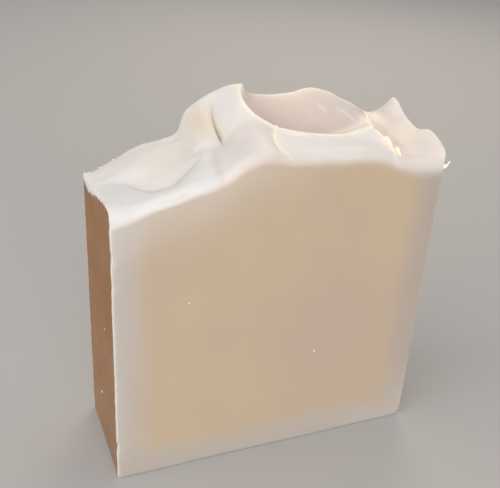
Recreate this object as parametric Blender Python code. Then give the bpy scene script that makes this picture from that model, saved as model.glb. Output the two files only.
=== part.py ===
"""A hand-cut bar of shaving soap with a spooned, folded top.

Metres, +Z up. X runs across the wide cut face and Y through the bar, from the front cut face (-Y)
to the back one (+Y). The origin is the middle of the flat bottom face.

The bar is a slice of a loaf. A gelled core runs from cut face to cut face, a pale rind surrounds
it on the floor and the walls of the mould, and six spooned folds lie over both. Their common
surface, the gel line, arches over the core. Two thin flakes stand on the top's right ridge, and
the cutting wire left a burr on the right front edge.
"""
import bmesh
import bpy
import numpy as np
from mathutils.geometry import delaunay_2d_cdt

MM = 0.001

# The cut bar.
BAR_WIDTH = 70.6 * MM
BAR_THICKNESS = 25.4 * MM
SHOULDER_HEIGHT = 60.0 * MM
FOLD_HEIGHT = 19.1 * MM
BASE_CORNER_RIGHT = 2.5 * MM
BASE_CORNER_LEFT = 0.8 * MM

# The pale rind against the mould, and the core that it holds.
RIND_LEFT = 8.0 * MM
RIND_RIGHT = 5.0 * MM
RIND_BASE = 5.0 * MM
CORE_CORNER = 6.0 * MM

# The trim on the top and on the cut edge.
FLAKE_THICKNESS = 0.7 * MM
LARGE_FLAKE_HEIGHT = 1.5 * MM
SMALL_FLAKE_HEIGHT = 1.0 * MM
BURR_LENGTH = 1.2 * MM
BURR_RADIUS = 0.3 * MM
BURR_DROP = 3.2 * MM
BURR_TAPER = 0.6
BURR_TURN = 1.1
BURR_RINGS = 6
BURR_SIDES = 8

# Clearance between any two pieces, and the spacing of the points on the folds.
PIECE_GAP = 0.3 * MM
FOLD_SPACING = 1.6 * MM
ARC_STEPS = 8

# The top is drawn on a plan of this size, in millimetres, with heights above the shoulder. It is
# stretched to the bar's own width, thickness and fold height.
PLAN_WIDTH = 70.0
PLAN_THICKNESS = 25.4
PLAN_PEAK = 19.1

# The gel line: distance across the plan, and height above the shoulder.
GEL_LINE = [(-35, -3.5), (-27, -2.0), (-18, 0.6), (-8, 4.0), (2, 6.0), (14, 6.2), (25, 4.8), (35, 3.2)]

# The creases and rims between the folds, then the outer edges of the top: (x, y, height).
CURVES = {
    "crease_front": [(-35, 5.5, 2.5), (-32.4, 4, 3.3), (-30.5, 2.5, 3.8), (-29, 0.5, 4.3),
                     (-27.7, -2.5, 4.8), (-26.8, -4.2, 5), (-25.5, -5.5, 5.2), (-24.2, -6.3, 5.6),
                     (-22.6, -7, 6.2), (-21.4, -7, 6.7), (-20.3, -6.5, 7.2), (-18.5, -5.2, 7.9),
                     (-16.7, -3.8, 8.8), (-15.1, -2.5, 9.6), (-13.7, -1.6, 10.4), (-12.2, -1.2, 10.8)],
    "crease_back": [(-12.2, -1.2, 10.8), (-9.7, -0.6, 11.3)],
    "notch": [(-9.7, -0.6, 11.3), (-9.5, 0.8, 12.1), (-9.5, 2.8, 12.9), (-9.5, 4.8, 13.8),
              (-9.2, 7.2, 14.9), (-8.6, 9.3, 15.9), (-8.2, 12.7, 17.4)],
    "rim_left": [(-0.9, 12.7, 19.1), (-2.6, 9.5, 18.9), (-3.5, 6, 18.3), (-3.2, 3.2, 17.2),
                 (-2.2, 1.4, 16.2), (-0.8, 0.2, 15.3), (0.6, -0.6, 14.5), (1.6, -1, 13.9)],
    "rim_front": [(1.6, -1, 13.9), (3.7, -1.3, 13.4), (6.9, -1.8, 12.8), (10.1, -2.2, 12.2),
                  (13.6, -2.3, 11.7), (17.3, -1.9, 11.4), (20.9, -0.8, 11.4), (23.7, 0.3, 11.4),
                  (25.6, 0.6, 11.2)],
    "rim_right": [(25.6, 0.6, 11.2), (26, 1.8, 11.2), (27.3, 5, 10.8), (28.7, 8.3, 10.4),
                  (29.4, 10.5, 10.2), (30, 12.7, 10.1)],
    "apron_seam": [(1.6, -1, 13.9), (0.5, -3.2, 13.2), (-0.3, -6.2, 12.8), (-0.6, -8.5, 12.7),
                   (-0.6, -10.6, 12.7), (0.2, -12, 12.6), (1.4, -12.7, 12.4)],
    "right_ridge": [(25.6, 0.6, 11.2), (25.9, -1.2, 11), (25.8, -3.2, 10.9), (25.4, -6, 10.8),
                    (24.7, -9, 10.5), (23.7, -12.7, 10)],
    "lip_seam": [(-12.2, -1.2, 10.8), (-12.6, -5, 10.2), (-13.4, -9, 9.8), (-13.4, -12.7, 9.4)],
    "front_lip_edge": [(-35, -12.7, 4.7), (-31, -12.7, 5), (-28.4, -12.7, 5.7), (-26, -12.7, 6.4),
                       (-22, -12.7, 7.5), (-18, -12.7, 8.5), (-15, -12.7, 8.9), (-13.4, -12.7, 9.4)],
    "front_mound_edge": [(-13.4, -12.7, 9.4), (-12, -12.7, 10.2), (-10.5, -12.7, 11.3),
                         (-8.2, -12.7, 12.6), (-5.9, -12.7, 13.4), (-3, -12.7, 13.4),
                         (-0.5, -12.7, 12.8), (1.4, -12.7, 12.4)],
    "front_apron_edge": [(1.4, -12.7, 12.4), (8.6, -12.7, 12.2), (15, -12.7, 11.8), (18.6, -12.7, 11.4),
                         (21.5, -12.7, 10.8), (23.7, -12.7, 10)],
    "front_right_edge": [(23.7, -12.7, 10), (26, -12.7, 9.5), (29.5, -12.7, 9.3), (33, -12.7, 9.7),
                         (35, -12.7, 10.2)],
    "right_edge": [(35, -12.7, 10.2), (35, -10.2, 11.4), (35, -7.6, 12.2), (35, -5.2, 12.4),
                   (35, -3, 11.6), (35, -1.2, 11), (35, 1, 11.1), (35, 3.7, 11.8), (35, 6.2, 12.8),
                   (35, 7.8, 13.8), (35, 9.4, 14.4), (35, 10.5, 14), (35, 12.7, 11.9)],
    "back_right_edge": [(35, 12.7, 11.9), (33.8, 12.7, 11), (31.8, 12.7, 10.3), (30, 12.7, 10.1)],
    "back_scoop_edge": [(30, 12.7, 10.1), (28.1, 12.7, 11.2), (25.3, 12.7, 12.9), (22.4, 12.7, 14.2),
                        (20, 12.7, 15.6), (17.4, 12.7, 16.6), (15, 12.7, 17), (13, 12.7, 16.9),
                        (11.2, 12.7, 16.4), (8.8, 12.7, 16.2), (5.5, 12.7, 16.2), (2.5, 12.7, 16.5),
                        (0.4, 12.7, 17.1), (-0.4, 12.7, 18), (-0.9, 12.7, 19.1)],
    "back_mound_edge": [(-0.9, 12.7, 19.1), (-2.2, 12.7, 19), (-4.4, 12.7, 18.7), (-8.2, 12.7, 17.4)],
    "back_left_edge": [(-8.2, 12.7, 17.4), (-9.9, 12.7, 16.5), (-12.3, 12.7, 14.8), (-13.5, 12.7, 13.5),
                       (-14, 12.7, 12.2), (-14.4, 12.7, 10.8), (-15.2, 12.7, 9.2), (-16.3, 12.7, 8.6),
                       (-19.6, 12.7, 7.9), (-22.8, 12.7, 7.3), (-27.1, 12.7, 5.3), (-30.8, 12.7, 3.4),
                       (-32.4, 12.7, 2.5), (-35, 12.7, 2.2)],
    "left_back_edge": [(-35, 12.7, 2.2), (-35, 9, 2.1), (-35, 5.5, 2.5)],
    "left_front_edge": [(-35, 5.5, 2.5), (-35, 2, 3.1), (-35, -2.8, 4.1), (-35, -7.4, 4.9),
                        (-35, -10.8, 5.3), (-35, -12.7, 4.7)],
}

# Each surface of the top: the curves that bound it, and the heights that shape it between them.
SURFACES = {
    "left_fold": (
        ["crease_front", "crease_back", "notch", "back_left_edge", "left_back_edge"],
        [(-32.4, 8, 3.3), (-31, 10, 3.9), (-29.5, 6, 5), (-29.1, 4, 5.4), (-27.6, 2, 6.1),
         (-25.8, 1, 6.8), (-23.6, 1.5, 7.5), (-21.5, 2, 8), (-19.1, 3, 8.4), (-16.7, 4, 8.9),
         (-24.7, -2.5, 6.2), (-23, -3.5, 6.9), (-20.9, -3, 7.6), (-18.4, -1.5, 8.3), (-16.4, 0, 8.9),
         (-27, 7, 6.6), (-23, 7.5, 7.9), (-19.5, 8, 8.5), (-16.5, 8, 9), (-14.4, 9.5, 10.8),
         (-13, 9.5, 14.3), (-10.6, 9.5, 15.7), (-14.4, 6, 9.9), (-13, 6, 13.5), (-10.6, 6, 14.7),
         (-14.4, 3, 9.6), (-13, 3, 12.3), (-10.6, 3, 13.4), (-14.4, 0.6, 9.5), (-12.6, 0.8, 11.7),
         (-11, 0.8, 12.2)]),
    "middle": (
        ["crease_front", "crease_back", "notch", "back_mound_edge", "rim_left", "apron_seam",
         "front_mound_edge", "front_lip_edge", "left_front_edge"],
        [(-33, -8, 5), (-32, -2, 4.2), (-29.5, -9, 5.4), (-29, -5, 5.2), (-25, -9.5, 6.5),
         (-22, -10, 7.4), (-18.5, -9.5, 8.6), (-16, -7, 9.4), (-17.6, -7.3, 8.9), (-13.2, -5.5, 10.2),
         (-13.6, -9, 9.8), (-11.2, -4, 11.1), (-11.2, -8, 11.2), (-9, -9.5, 12.4), (-8.5, -5.5, 12.5),
         (-7.6, -2, 13.3), (-8, 1, 13.6), (-5.5, -10, 13.6), (-5, -6, 13.8), (-3, -3, 14.4),
         (-4, 0, 15.3), (-0.6, -2, 14.2), (-2.5, -9, 13.4), (-2, -6, 13.6), (-7.6, 4, 15),
         (-5.2, 3, 16.2), (-7, 8, 16.5), (-5, 7, 17.4), (-5, 10, 18)]),
    "scoop": (
        ["rim_left", "rim_front", "rim_right", "back_scoop_edge"],
        [(-1.6, 9, 16.9), (0.8, 9, 15.2), (4, 9, 14), (8, 9, 13.6), (14, 9, 13.8), (19, 9, 13),
         (23.6, 9, 11.8), (26.6, 9.5, 11.1), (-1.4, 5, 15.6), (1, 5, 13.4), (5, 4, 10.8),
         (10, 3.5, 9.8), (16, 3.5, 9.6), (21, 4.5, 9.9), (25, 5, 10.4), (4, 1, 11.6), (8, 0.4, 10.8),
         (14.5, 0.2, 10), (20, 1.5, 10)]),
    "apron": (
        ["rim_front", "right_ridge", "front_apron_edge", "apron_seam"],
        [(4, -4, 13), (9, -5, 12.3), (15, -5.5, 11.7), (21, -4, 11.2), (4, -9, 12.6), (10, -9, 12.3),
         (16, -9, 11.9), (21, -9, 11.1)]),
    "right": (
        ["rim_right", "right_ridge", "front_right_edge", "right_edge", "back_right_edge"],
        [(28.5, 3, 10.3), (29, -3, 10), (28.5, -8, 9.8), (31, 8, 10.8), (31.5, 3, 10.4),
         (31.5, -3, 10.5), (31.5, -8, 10.6), (33.5, 9.5, 12.6), (33.4, 6, 11.8), (33.5, 0.5, 10.8),
         (33.5, -5.5, 11.7), (33.5, -9, 11.2), (32.6, 11.4, 11)]),
}

# Each fold: its surface, and its outline in plan, anticlockwise. A minus runs a curve backwards.
FOLDS = {
    "left_fold": ("left_fold", ["crease_front", "crease_back", "notch", "back_left_edge",
                                "left_back_edge"]),
    "front_lip": ("middle", ["front_lip_edge", "-lip_seam", "-crease_front", "left_front_edge"]),
    "middle_mound": ("middle", ["lip_seam", "front_mound_edge", "-apron_seam", "-rim_left",
                                "back_mound_edge", "-notch", "-crease_back"]),
    "scoop_bowl": ("scoop", ["rim_left", "rim_front", "rim_right", "back_scoop_edge"]),
    "front_apron": ("apron", ["apron_seam", "front_apron_edge", "-right_ridge", "-rim_front"]),
    "right_mound": ("right", ["right_ridge", "front_right_edge", "right_edge", "back_right_edge",
                              "-rim_right"]),
}

# Where each flake's foot runs in plan, and how far its tip leans across the bar.
LARGE_FLAKE_FOOT = [(25.8, -3.4, 0), (25.5, -5.4, 0), (25.1, -7.4, 0)]
SMALL_FLAKE_FOOT = [(24.8, -8.6, 0), (24.4, -10.1, 0), (24.0, -11.6, 0)]
FLAKE_LEAN = 0.5 * MM

SOAP_COLOURS = {
    "gelled_core": (0.60, 0.45, 0.30),
    "rind": (0.70, 0.62, 0.54),
    "fold": (0.82, 0.78, 0.73),
    "scoop": (0.78, 0.66, 0.58),
    "trim": (0.90, 0.80, 0.58),
}
SOAP_ROUGHNESS = 0.42


def clear_scene():
    """Remove every object that the file came with."""
    for thing in list(bpy.data.objects):
        bpy.data.objects.remove(thing, do_unlink=True)


def to_bar(points):
    """Turn points on the plan, in millimetres, into metres on the bar."""
    stretch = (BAR_WIDTH / PLAN_WIDTH, BAR_THICKNESS / PLAN_THICKNESS, FOLD_HEIGHT / PLAN_PEAK)
    return np.asarray(points, float) * stretch + (0.0, 0.0, SHOULDER_HEIGHT)


def smooth_curve(points, steps=8):
    """Run a centripetal Catmull-Rom curve through the points."""
    knots = np.asarray(points, float)
    padded = np.vstack([2 * knots[0] - knots[1], knots, 2 * knots[-1] - knots[-2]])
    curve = []
    for first in range(len(knots) - 1):
        p = padded[first:first + 4]
        t = np.concatenate([[0.0], np.cumsum(np.sqrt(np.linalg.norm(np.diff(p, axis=0), axis=1)))])
        for s in np.linspace(t[1], t[2], steps, endpoint=False):
            level = list(p)
            for degree in (1, 2, 3):
                wide = degree if degree < 3 else 1
                start = 0 if degree < 3 else 1
                level = [
                    blend(level[i], level[i + 1], t[start + i], t[start + i + wide], s)
                    for i in range(len(level) - 1)
                ]
            curve.append(level[0])
    curve.append(knots[-1])
    return np.array(curve)


def blend(a, b, t_a, t_b, s):
    """Mix two points as s runs from t_a to t_b."""
    return ((t_b - s) * a + (s - t_a) * b) / (t_b - t_a)


def evenly_spaced(curve, spacing):
    """Resample a curve at about this spacing, keeping both of its ends."""
    along = np.concatenate([[0.0], np.cumsum(np.linalg.norm(np.diff(curve, axis=0), axis=1))])
    stations = np.linspace(0.0, along[-1], max(2, round(along[-1] / spacing) + 1))
    return np.stack([np.interp(stations, along, curve[:, k]) for k in range(3)], axis=1)


def bar_curve(name, spacing):
    """Return a named curve on the bar, run backwards if its name has a minus."""
    curve = evenly_spaced(to_bar(smooth_curve(CURVES[name.lstrip("-")])), spacing)
    return curve[::-1] if name.startswith("-") else curve


def plate_kernel(points, centres):
    """Return r^2 log r from each point to each centre, the thin plate's kernel."""
    away = np.linalg.norm(points[:, None] - centres[None], axis=2)
    return away ** 2 * np.log(np.maximum(away, 1e-9))


def fit_surface(curve_names, inner_points):
    """Fit a thin plate through a surface's curves and inner points."""
    rows = [bar_curve(name, FOLD_SPACING) for name in curve_names] + [to_bar(inner_points)]
    points = np.vstack(rows)
    _, first = np.unique(np.round(points[:, :2] / MM, 1), axis=0, return_index=True)
    points = points[np.sort(first)]
    centres = points[:, :2] / MM
    plane = np.hstack([np.ones((len(centres), 1)), centres])
    stiffness = plate_kernel(centres, centres) + 0.02 * np.eye(len(centres))
    system = np.block([[stiffness, plane], [plane.T, np.zeros((3, 3))]])
    weights = np.linalg.lstsq(system, np.append(points[:, 2] / MM, np.zeros(3)), rcond=None)[0]
    return centres, weights


def surface_height(surface, xy):
    """Height of a fitted surface at each point in plan."""
    centres, weights = surface
    at = np.asarray(xy, float) / MM
    return (plate_kernel(at, centres) @ weights[:-3] + weights[-3] + at @ weights[-2:]) * MM


def distance_to(path, points):
    """Distance from each point to a path in plan."""
    starts, legs = path[:-1], np.diff(path, axis=0)
    offset = points[:, None] - starts[None]
    along = np.clip((offset * legs).sum(axis=2) / (legs ** 2).sum(axis=1), 0.0, 1.0)
    away = np.linalg.norm(offset - along[..., None] * legs, axis=2)
    return away.min(axis=1)


def gel_height(x):
    """Height of the gel line at each distance across the bar."""
    line = smooth_curve([(along, 0.0, height) for along, height in GEL_LINE])
    return np.interp(x, line[:, 0] * BAR_WIDTH / PLAN_WIDTH, line[:, 2] * MM) + SHOULDER_HEIGHT


def fold_outline(loop):
    """Outline of a fold in plan, drawn in by half a gap along the creases it shares."""
    corners, insets = [], []
    for name in loop:
        curve = bar_curve(name, FOLD_SPACING)
        inset = 0.0 if name.endswith("_edge") else PIECE_GAP / 2
        corners.extend(curve[:-1, :2])
        insets.extend([inset] * (len(curve) - 1))
    corners, insets = np.array(corners), np.array(insets)
    legs = np.roll(corners, -1, axis=0) - corners
    along = legs / np.linalg.norm(legs, axis=1, keepdims=True)
    inward = np.stack([-along[:, 1], along[:, 0]], axis=1)
    outline = []
    for here in range(len(corners)):
        outline.append(drawn_in(corners[here], inward[here - 1], insets[here - 1],
                                inward[here], insets[here]))
    return np.array(outline)


def drawn_in(corner, normal_a, inset_a, normal_b, inset_b):
    """Move a corner so that it lies each inset inside both of the legs that meet there."""
    if normal_a @ normal_b > 0.999:
        return corner + (normal_a * inset_a + normal_b * inset_b) / 2
    return corner + np.linalg.solve(np.array([normal_a, normal_b]), [inset_a, inset_b])


def inside_outline(points, outline):
    """Say which points lie inside a closed outline."""
    x, y = points[:, 0:1], points[:, 1:2]
    a, b = outline, np.roll(outline, -1, axis=0)
    crosses = (a[:, 1] > y) != (b[:, 1] > y)
    rise = np.where(a[:, 1] == b[:, 1], 1.0, b[:, 1] - a[:, 1])
    at = (b[:, 0] - a[:, 0]) * (y - a[:, 1]) / rise + a[:, 0]
    return ((crosses & (x < at)).sum(axis=1) % 2).astype(bool)


def plan_mesh(outline):
    """Fill an outline with evenly spaced points, and return its points and triangles."""
    across = np.arange(-BAR_WIDTH / 2, BAR_WIDTH / 2, FOLD_SPACING) + FOLD_SPACING / 2
    through = np.arange(-BAR_THICKNESS / 2, BAR_THICKNESS / 2, FOLD_SPACING) + FOLD_SPACING / 2
    grid = np.stack(np.meshgrid(across, through), axis=-1).reshape(-1, 2)
    closed = np.vstack([outline, outline[:1]])
    clear = distance_to(closed, grid) > FOLD_SPACING * 0.45
    points = np.vstack([outline, grid[inside_outline(grid, outline) & clear]])
    ring = [list(range(len(outline)))]
    flat, _, triangles, *_ = delaunay_2d_cdt([tuple(p) for p in points], [], ring, 1, 1e-7)
    return np.array([(p[0], p[1]) for p in flat]), triangles


def make_object(name, mesh_maker, colour):
    """Make an object with its own material from a bmesh."""
    mesh = bpy.data.meshes.new(name)
    bmesh.ops.recalc_face_normals(mesh_maker, faces=mesh_maker.faces)
    mesh_maker.to_mesh(mesh)
    mesh_maker.free()
    thing = bpy.data.objects.new(name, mesh)
    bpy.context.collection.objects.link(thing)
    material = bpy.data.materials.new(name)
    material.use_nodes = True
    shader = material.node_tree.nodes["Principled BSDF"]
    shader.inputs["Base Color"].default_value = (*SOAP_COLOURS[colour], 1.0)
    shader.inputs["Roughness"].default_value = SOAP_ROUGHNESS
    shader.inputs["Metallic"].default_value = 0.0
    mesh.materials.append(material)
    mesh.shade_smooth()
    mesh.set_sharp_from_angle(angle=0.6)
    return thing


def make_fold(name, surfaces):
    """Make one fold: its surface above, the gel line below, and walls around its outline."""
    surface_name, loop = FOLDS[name]
    xy, triangles = plan_mesh(fold_outline(loop))
    tops = surface_height(surfaces[surface_name], xy)
    beds = gel_height(xy[:, 0]) + PIECE_GAP
    shape = bmesh.new()
    above = [shape.verts.new((x, y, z)) for (x, y), z in zip(xy, tops)]
    below = [shape.verts.new((x, y, z)) for (x, y), z in zip(xy, beds)]
    rims = set()
    for a, b, c in triangles:
        shape.faces.new((above[a], above[b], above[c]))
        shape.faces.new((below[c], below[b], below[a]))
        rims.update([(a, b), (b, c), (c, a)])
    for a, b in rims:
        if (b, a) not in rims:
            shape.faces.new((above[b], above[a], below[a], below[b]))
    make_object(name, shape, "scoop" if name == "scoop_bowl" else "fold")


def arc(centre, radius, start_degrees, end_degrees):
    """Points along an arc in the X-Z plane."""
    turns = np.radians(np.linspace(start_degrees, end_degrees, ARC_STEPS + 1))
    return [(centre[0] + radius * np.cos(t), centre[1] + radius * np.sin(t)) for t in turns]


def gel_run(x_from, x_to):
    """Points along the gel line from one distance across the bar to another."""
    steps = max(2, round(abs(x_to - x_from) / FOLD_SPACING) + 1)
    return [(x, gel_height(x)) for x in np.linspace(x_from, x_to, steps)]


def extrude_section(name, section, colour):
    """Run an X-Z section through the bar, from cut face to cut face."""
    shape = bmesh.new()
    front = [shape.verts.new((x, -BAR_THICKNESS / 2, z)) for x, z in section]
    back = [shape.verts.new((x, BAR_THICKNESS / 2, z)) for x, z in section]
    shape.faces.new(front)
    shape.faces.new(back[::-1])
    for i in range(len(section)):
        j = (i + 1) % len(section)
        shape.faces.new((front[j], front[i], back[i], back[j]))
    make_object(name, shape, colour)


def make_core():
    """Make the gelled core, inset by a gap from the rind all round it."""
    left = -BAR_WIDTH / 2 + RIND_LEFT + PIECE_GAP
    right = BAR_WIDTH / 2 - RIND_RIGHT - PIECE_GAP
    floor = RIND_BASE + PIECE_GAP
    turn = CORE_CORNER - PIECE_GAP
    section = arc((left + turn, floor + turn), turn, 180, 270)
    section += arc((right - turn, floor + turn), turn, 270, 360)
    section += gel_run(right, left)
    extrude_section("gelled_core", section, "gelled_core")


def make_base_rind():
    """Make the rind on the mould's floor, which rises into the core's two lower corners."""
    half = BAR_WIDTH / 2
    left, right = -half + RIND_LEFT, half - RIND_RIGHT
    top = RIND_BASE + CORE_CORNER
    section = arc((-half + BASE_CORNER_LEFT, BASE_CORNER_LEFT), BASE_CORNER_LEFT, 180, 270)
    section += arc((half - BASE_CORNER_RIGHT, BASE_CORNER_RIGHT), BASE_CORNER_RIGHT, 270, 360)
    section += [(half, top)]
    section += arc((right - CORE_CORNER, top), CORE_CORNER, 0, -90)
    section += arc((left + CORE_CORNER, top), CORE_CORNER, -90, -180)
    section += [(-half, top)]
    extrude_section("rind_base", section, "rind")


def make_wall_rind(name, x_from, x_to):
    """Make the rind on one wall of the mould, from the base rind up to the gel line."""
    foot = RIND_BASE + CORE_CORNER + PIECE_GAP
    section = [(x_from, foot), (x_to, foot)] + gel_run(x_to, x_from)
    extrude_section(name, section, "rind")


def loft(name, rings, colour):
    """Join a run of rings with the same number of points into one closed solid."""
    shape = bmesh.new()
    loops = [[shape.verts.new(point) for point in ring] for ring in rings]
    for near, far in zip(loops, loops[1:]):
        for i in range(len(near)):
            j = (i + 1) % len(near)
            shape.faces.new((near[i], near[j], far[j], far[i]))
    shape.faces.new(loops[0][::-1])
    shape.faces.new(loops[-1])
    make_object(name, shape, colour)


def make_flake(name, foot, height, surfaces):
    """Make a thin leaning flake that follows the ridge, a gap above the folds under it."""
    line = to_bar(smooth_curve(foot))
    half = FLAKE_THICKNESS / 2
    rings = []
    for share, (x, y, _) in zip(np.linspace(0.0, 1.0, len(line)), line):
        sides = np.array([(x - half, y), (x, y), (x + half, y)])
        under = [surface_height(surfaces[side], sides) for side in ("apron", "right")]
        base = np.max(under, axis=0) + PIECE_GAP
        rise = height * (0.25 + 0.75 * np.sin(np.pi * share))
        lean = FLAKE_LEAN * np.sin(np.pi * share)
        top = base.max() + rise
        rings.append([(x - half, y, base[0]), (x, y, base[1]), (x + half, y, base[2]),
                      (x + half * 0.5 + lean, y, top), (x - half * 0.3 + lean, y, top)])
    loft(name, rings, "trim")


def make_burr(surfaces):
    """Make the tapered curl that the wire left on the right front edge."""
    edge = np.array([[BAR_WIDTH / 2, -BAR_THICKNESS / 2]])
    foot = np.array([
        BAR_WIDTH / 2 + PIECE_GAP,
        -BAR_THICKNESS / 2 + BURR_RADIUS,
        surface_height(surfaces["right"], edge)[0] - BURR_DROP,
    ])
    side = np.array([0.0, 1.0, 0.0])
    rings = []
    for share in np.linspace(0.0, 1.0, BURR_RINGS):
        turn = share * BURR_TURN
        bend = BURR_LENGTH / BURR_TURN
        centre = foot + bend * np.array([np.sin(turn), 0.0, 1.0 - np.cos(turn)])
        outward = np.array([-np.sin(turn), 0.0, np.cos(turn)])
        radius = BURR_RADIUS * (1.0 - BURR_TAPER * share)
        spokes = np.linspace(0.0, 2.0 * np.pi, BURR_SIDES, endpoint=False)
        rings.append([centre + radius * (np.cos(t) * side + np.sin(t) * outward) for t in spokes])
    loft("wire_burr", rings, "trim")


def main():
    """Build the bar."""
    clear_scene()
    surfaces = {name: fit_surface(*drawing) for name, drawing in SURFACES.items()}
    half = BAR_WIDTH / 2
    make_core()
    make_base_rind()
    make_wall_rind("rind_left", -half, -half + RIND_LEFT)
    make_wall_rind("rind_right", half - RIND_RIGHT, half)
    for name in FOLDS:
        make_fold(name, surfaces)
    make_flake("ridge_flake_large", LARGE_FLAKE_FOOT, LARGE_FLAKE_HEIGHT, surfaces)
    make_flake("ridge_flake_small", SMALL_FLAKE_FOOT, SMALL_FLAKE_HEIGHT, surfaces)
    make_burr(surfaces)


main()
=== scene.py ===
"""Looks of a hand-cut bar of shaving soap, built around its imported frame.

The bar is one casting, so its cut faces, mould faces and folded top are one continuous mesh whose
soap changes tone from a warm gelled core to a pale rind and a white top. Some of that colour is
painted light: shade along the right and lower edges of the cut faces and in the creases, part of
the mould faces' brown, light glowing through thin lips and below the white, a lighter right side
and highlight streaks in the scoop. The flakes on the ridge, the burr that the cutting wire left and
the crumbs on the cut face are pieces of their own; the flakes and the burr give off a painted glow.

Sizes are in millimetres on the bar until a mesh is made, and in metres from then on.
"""
from __future__ import annotations

import logging
import math
from collections.abc import Sequence
from dataclasses import dataclass, field
from enum import Enum

import bmesh
import bpy
import numpy as np
from mathutils import Matrix, Vector, noise
from mathutils.geometry import delaunay_2d_cdt


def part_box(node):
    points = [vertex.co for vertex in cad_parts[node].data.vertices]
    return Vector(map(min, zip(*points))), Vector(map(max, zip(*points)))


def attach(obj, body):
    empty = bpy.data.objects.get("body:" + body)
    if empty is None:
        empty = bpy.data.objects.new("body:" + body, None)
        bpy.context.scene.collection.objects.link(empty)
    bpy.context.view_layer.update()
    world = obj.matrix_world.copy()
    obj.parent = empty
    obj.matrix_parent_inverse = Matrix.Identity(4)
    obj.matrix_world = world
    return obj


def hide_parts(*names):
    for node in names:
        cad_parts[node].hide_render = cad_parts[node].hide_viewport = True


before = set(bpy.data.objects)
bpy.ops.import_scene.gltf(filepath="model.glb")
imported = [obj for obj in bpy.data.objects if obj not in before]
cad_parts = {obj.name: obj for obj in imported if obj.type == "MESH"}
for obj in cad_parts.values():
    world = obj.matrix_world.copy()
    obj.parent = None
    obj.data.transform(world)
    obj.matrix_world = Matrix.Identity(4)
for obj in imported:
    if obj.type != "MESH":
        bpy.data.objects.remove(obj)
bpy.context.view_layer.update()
MM = 0.001
# The plan that the folds are drawn on.
PLAN_WIDTH = 70.0
PLAN_THICKNESS = 25.4
# Vertices on the plan's edge are looked up this far inside it.
EDGE_SLIP = 1e-4
# Points closer than this are one point.
SAME_POINT = 1e-6
# Side of the bins that vertices are sorted into, no smaller than any gap between them.
BIN_SIDE = 0.5
# The triangulation's way of keeping only what lies inside the ring.
CLIP_TO_RING = 1
UNIT = (0.0, 1.0)
Point = tuple[float, float, float]
Colour = tuple[float, float, float]
Spot = tuple[float, float]
Span = tuple[float, float]
Face = tuple[int, ...]

log = logging.getLogger("soap_bar")


class Profile(Enum):
    """How the soap behaves where two folds meet."""

    GROOVE = "groove"
    LIP_WITH_PAINTED_GLOW = "lip"
    # A lip also carries a painted glow along it.
    PLAIN = "plain"


class Tone(Enum):
    """Tones of soap, laid over the gelled core in this order."""

    BLUSH = "blush"
    RIND = "rind"
    # Painted shade along the right and lower edges of the cut faces.
    PAINTED_SHADE = "painted_shade"
    # The mould faces' brown: partly their own tan, partly painted shade and warm bounce light.
    MOULD_SKIN_AND_SHADE = "mould"
    TOP = "top"
    CREAM = "cream"
    SCOOP = "scoop"
    # Painted glow of light through thin soap along the lips and rims.
    LIP_WITH_PAINTED_GLOW = "lip"
    # Warm painted shade in grooves, hollows, the notch and the scar.
    PAINTED_CREASE_SHADE = "painted_crease_shade"


@dataclass(frozen=True)
class FoldLine:
    """A line on the top, in plan and height, with the shape of its section.

    Attributes:
        points: the line's points, in millimetres above the base.
        profile: whether the soap dips, stands up or runs on plainly along it.
        rise: depth of the groove or height of the lip.
        reach: how far the groove or lip reaches to each side.
        fade: shares of the line over which the profile grows in and dies out.
        merge: how far from its end the two folds run smoothly into each other.
        painted_light: how strongly it is painted, with a glow along a lip and with shade along a groove.
    """

    points: tuple[Point, ...]
    profile: Profile = Profile.PLAIN
    rise: float = 0.0
    reach: float = 0.5
    fade: tuple[float, float] = (0.0, 0.0)
    merge: float = 0.0
    painted_light: float = 1.0


@dataclass(frozen=True)
class FoldRegion:
    """A smooth stretch of the top.

    Attributes:
        outline: the lines around it.
        inner: the points that shape it.
    """

    outline: tuple[str, ...]
    inner: tuple[Point, ...]


@dataclass(frozen=True)
class Dent:
    """A hollow or a streak along a short path in plan.

    Attributes:
        path: the path's points.
        depth: how deep it is, or how proud if negative.
        reach: how far it reaches to each side.
        painted_light: how much of its tone it paints on, or takes away if negative: painted shade in a
            hollow, painted glow beside a rim, painted highlight where the scoop's tone is taken away.
        tone: the tone that it changes.
    """

    path: tuple[Spot, ...]
    depth: float
    reach: float
    painted_light: float = 0.0
    tone: Tone = Tone.PAINTED_CREASE_SHADE


def smooth_curve(points: tuple[Point, ...] | np.ndarray, steps: int = 10) -> np.ndarray:
    """Run a centripetal Catmull-Rom curve through points.

    Args:
        points: the points that the curve passes through.
        steps: how many stretches each span is cut into.

    Returns:
        The curve's points, one row each.
    """
    knots = np.asarray(points, float)
    padded = np.vstack([2 * knots[0] - knots[1], knots, 2 * knots[-1] - knots[-2]])
    curve = []
    for first in range(len(knots) - 1):
        p0, p1, p2, p3 = padded[first:first + 4]
        t1 = math.sqrt(np.linalg.norm(p1 - p0))
        t2 = t1 + math.sqrt(np.linalg.norm(p2 - p1))
        t3 = t2 + math.sqrt(np.linalg.norm(p3 - p2))
        for t in np.linspace(t1, t2, steps, endpoint=False):
            a1 = p0 + (p1 - p0) * (t / t1)
            a2 = p1 + (p2 - p1) * ((t - t1) / (t2 - t1))
            a3 = p2 + (p3 - p2) * ((t - t2) / (t3 - t2))
            b1 = a1 + (a2 - a1) * (t / t2)
            b2 = a2 + (a3 - a2) * ((t - t1) / (t3 - t1))
            curve.append(b1 + (b2 - b1) * ((t - t1) / (t2 - t1)))
    curve.append(knots[-1])
    return np.array(curve)


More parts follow.
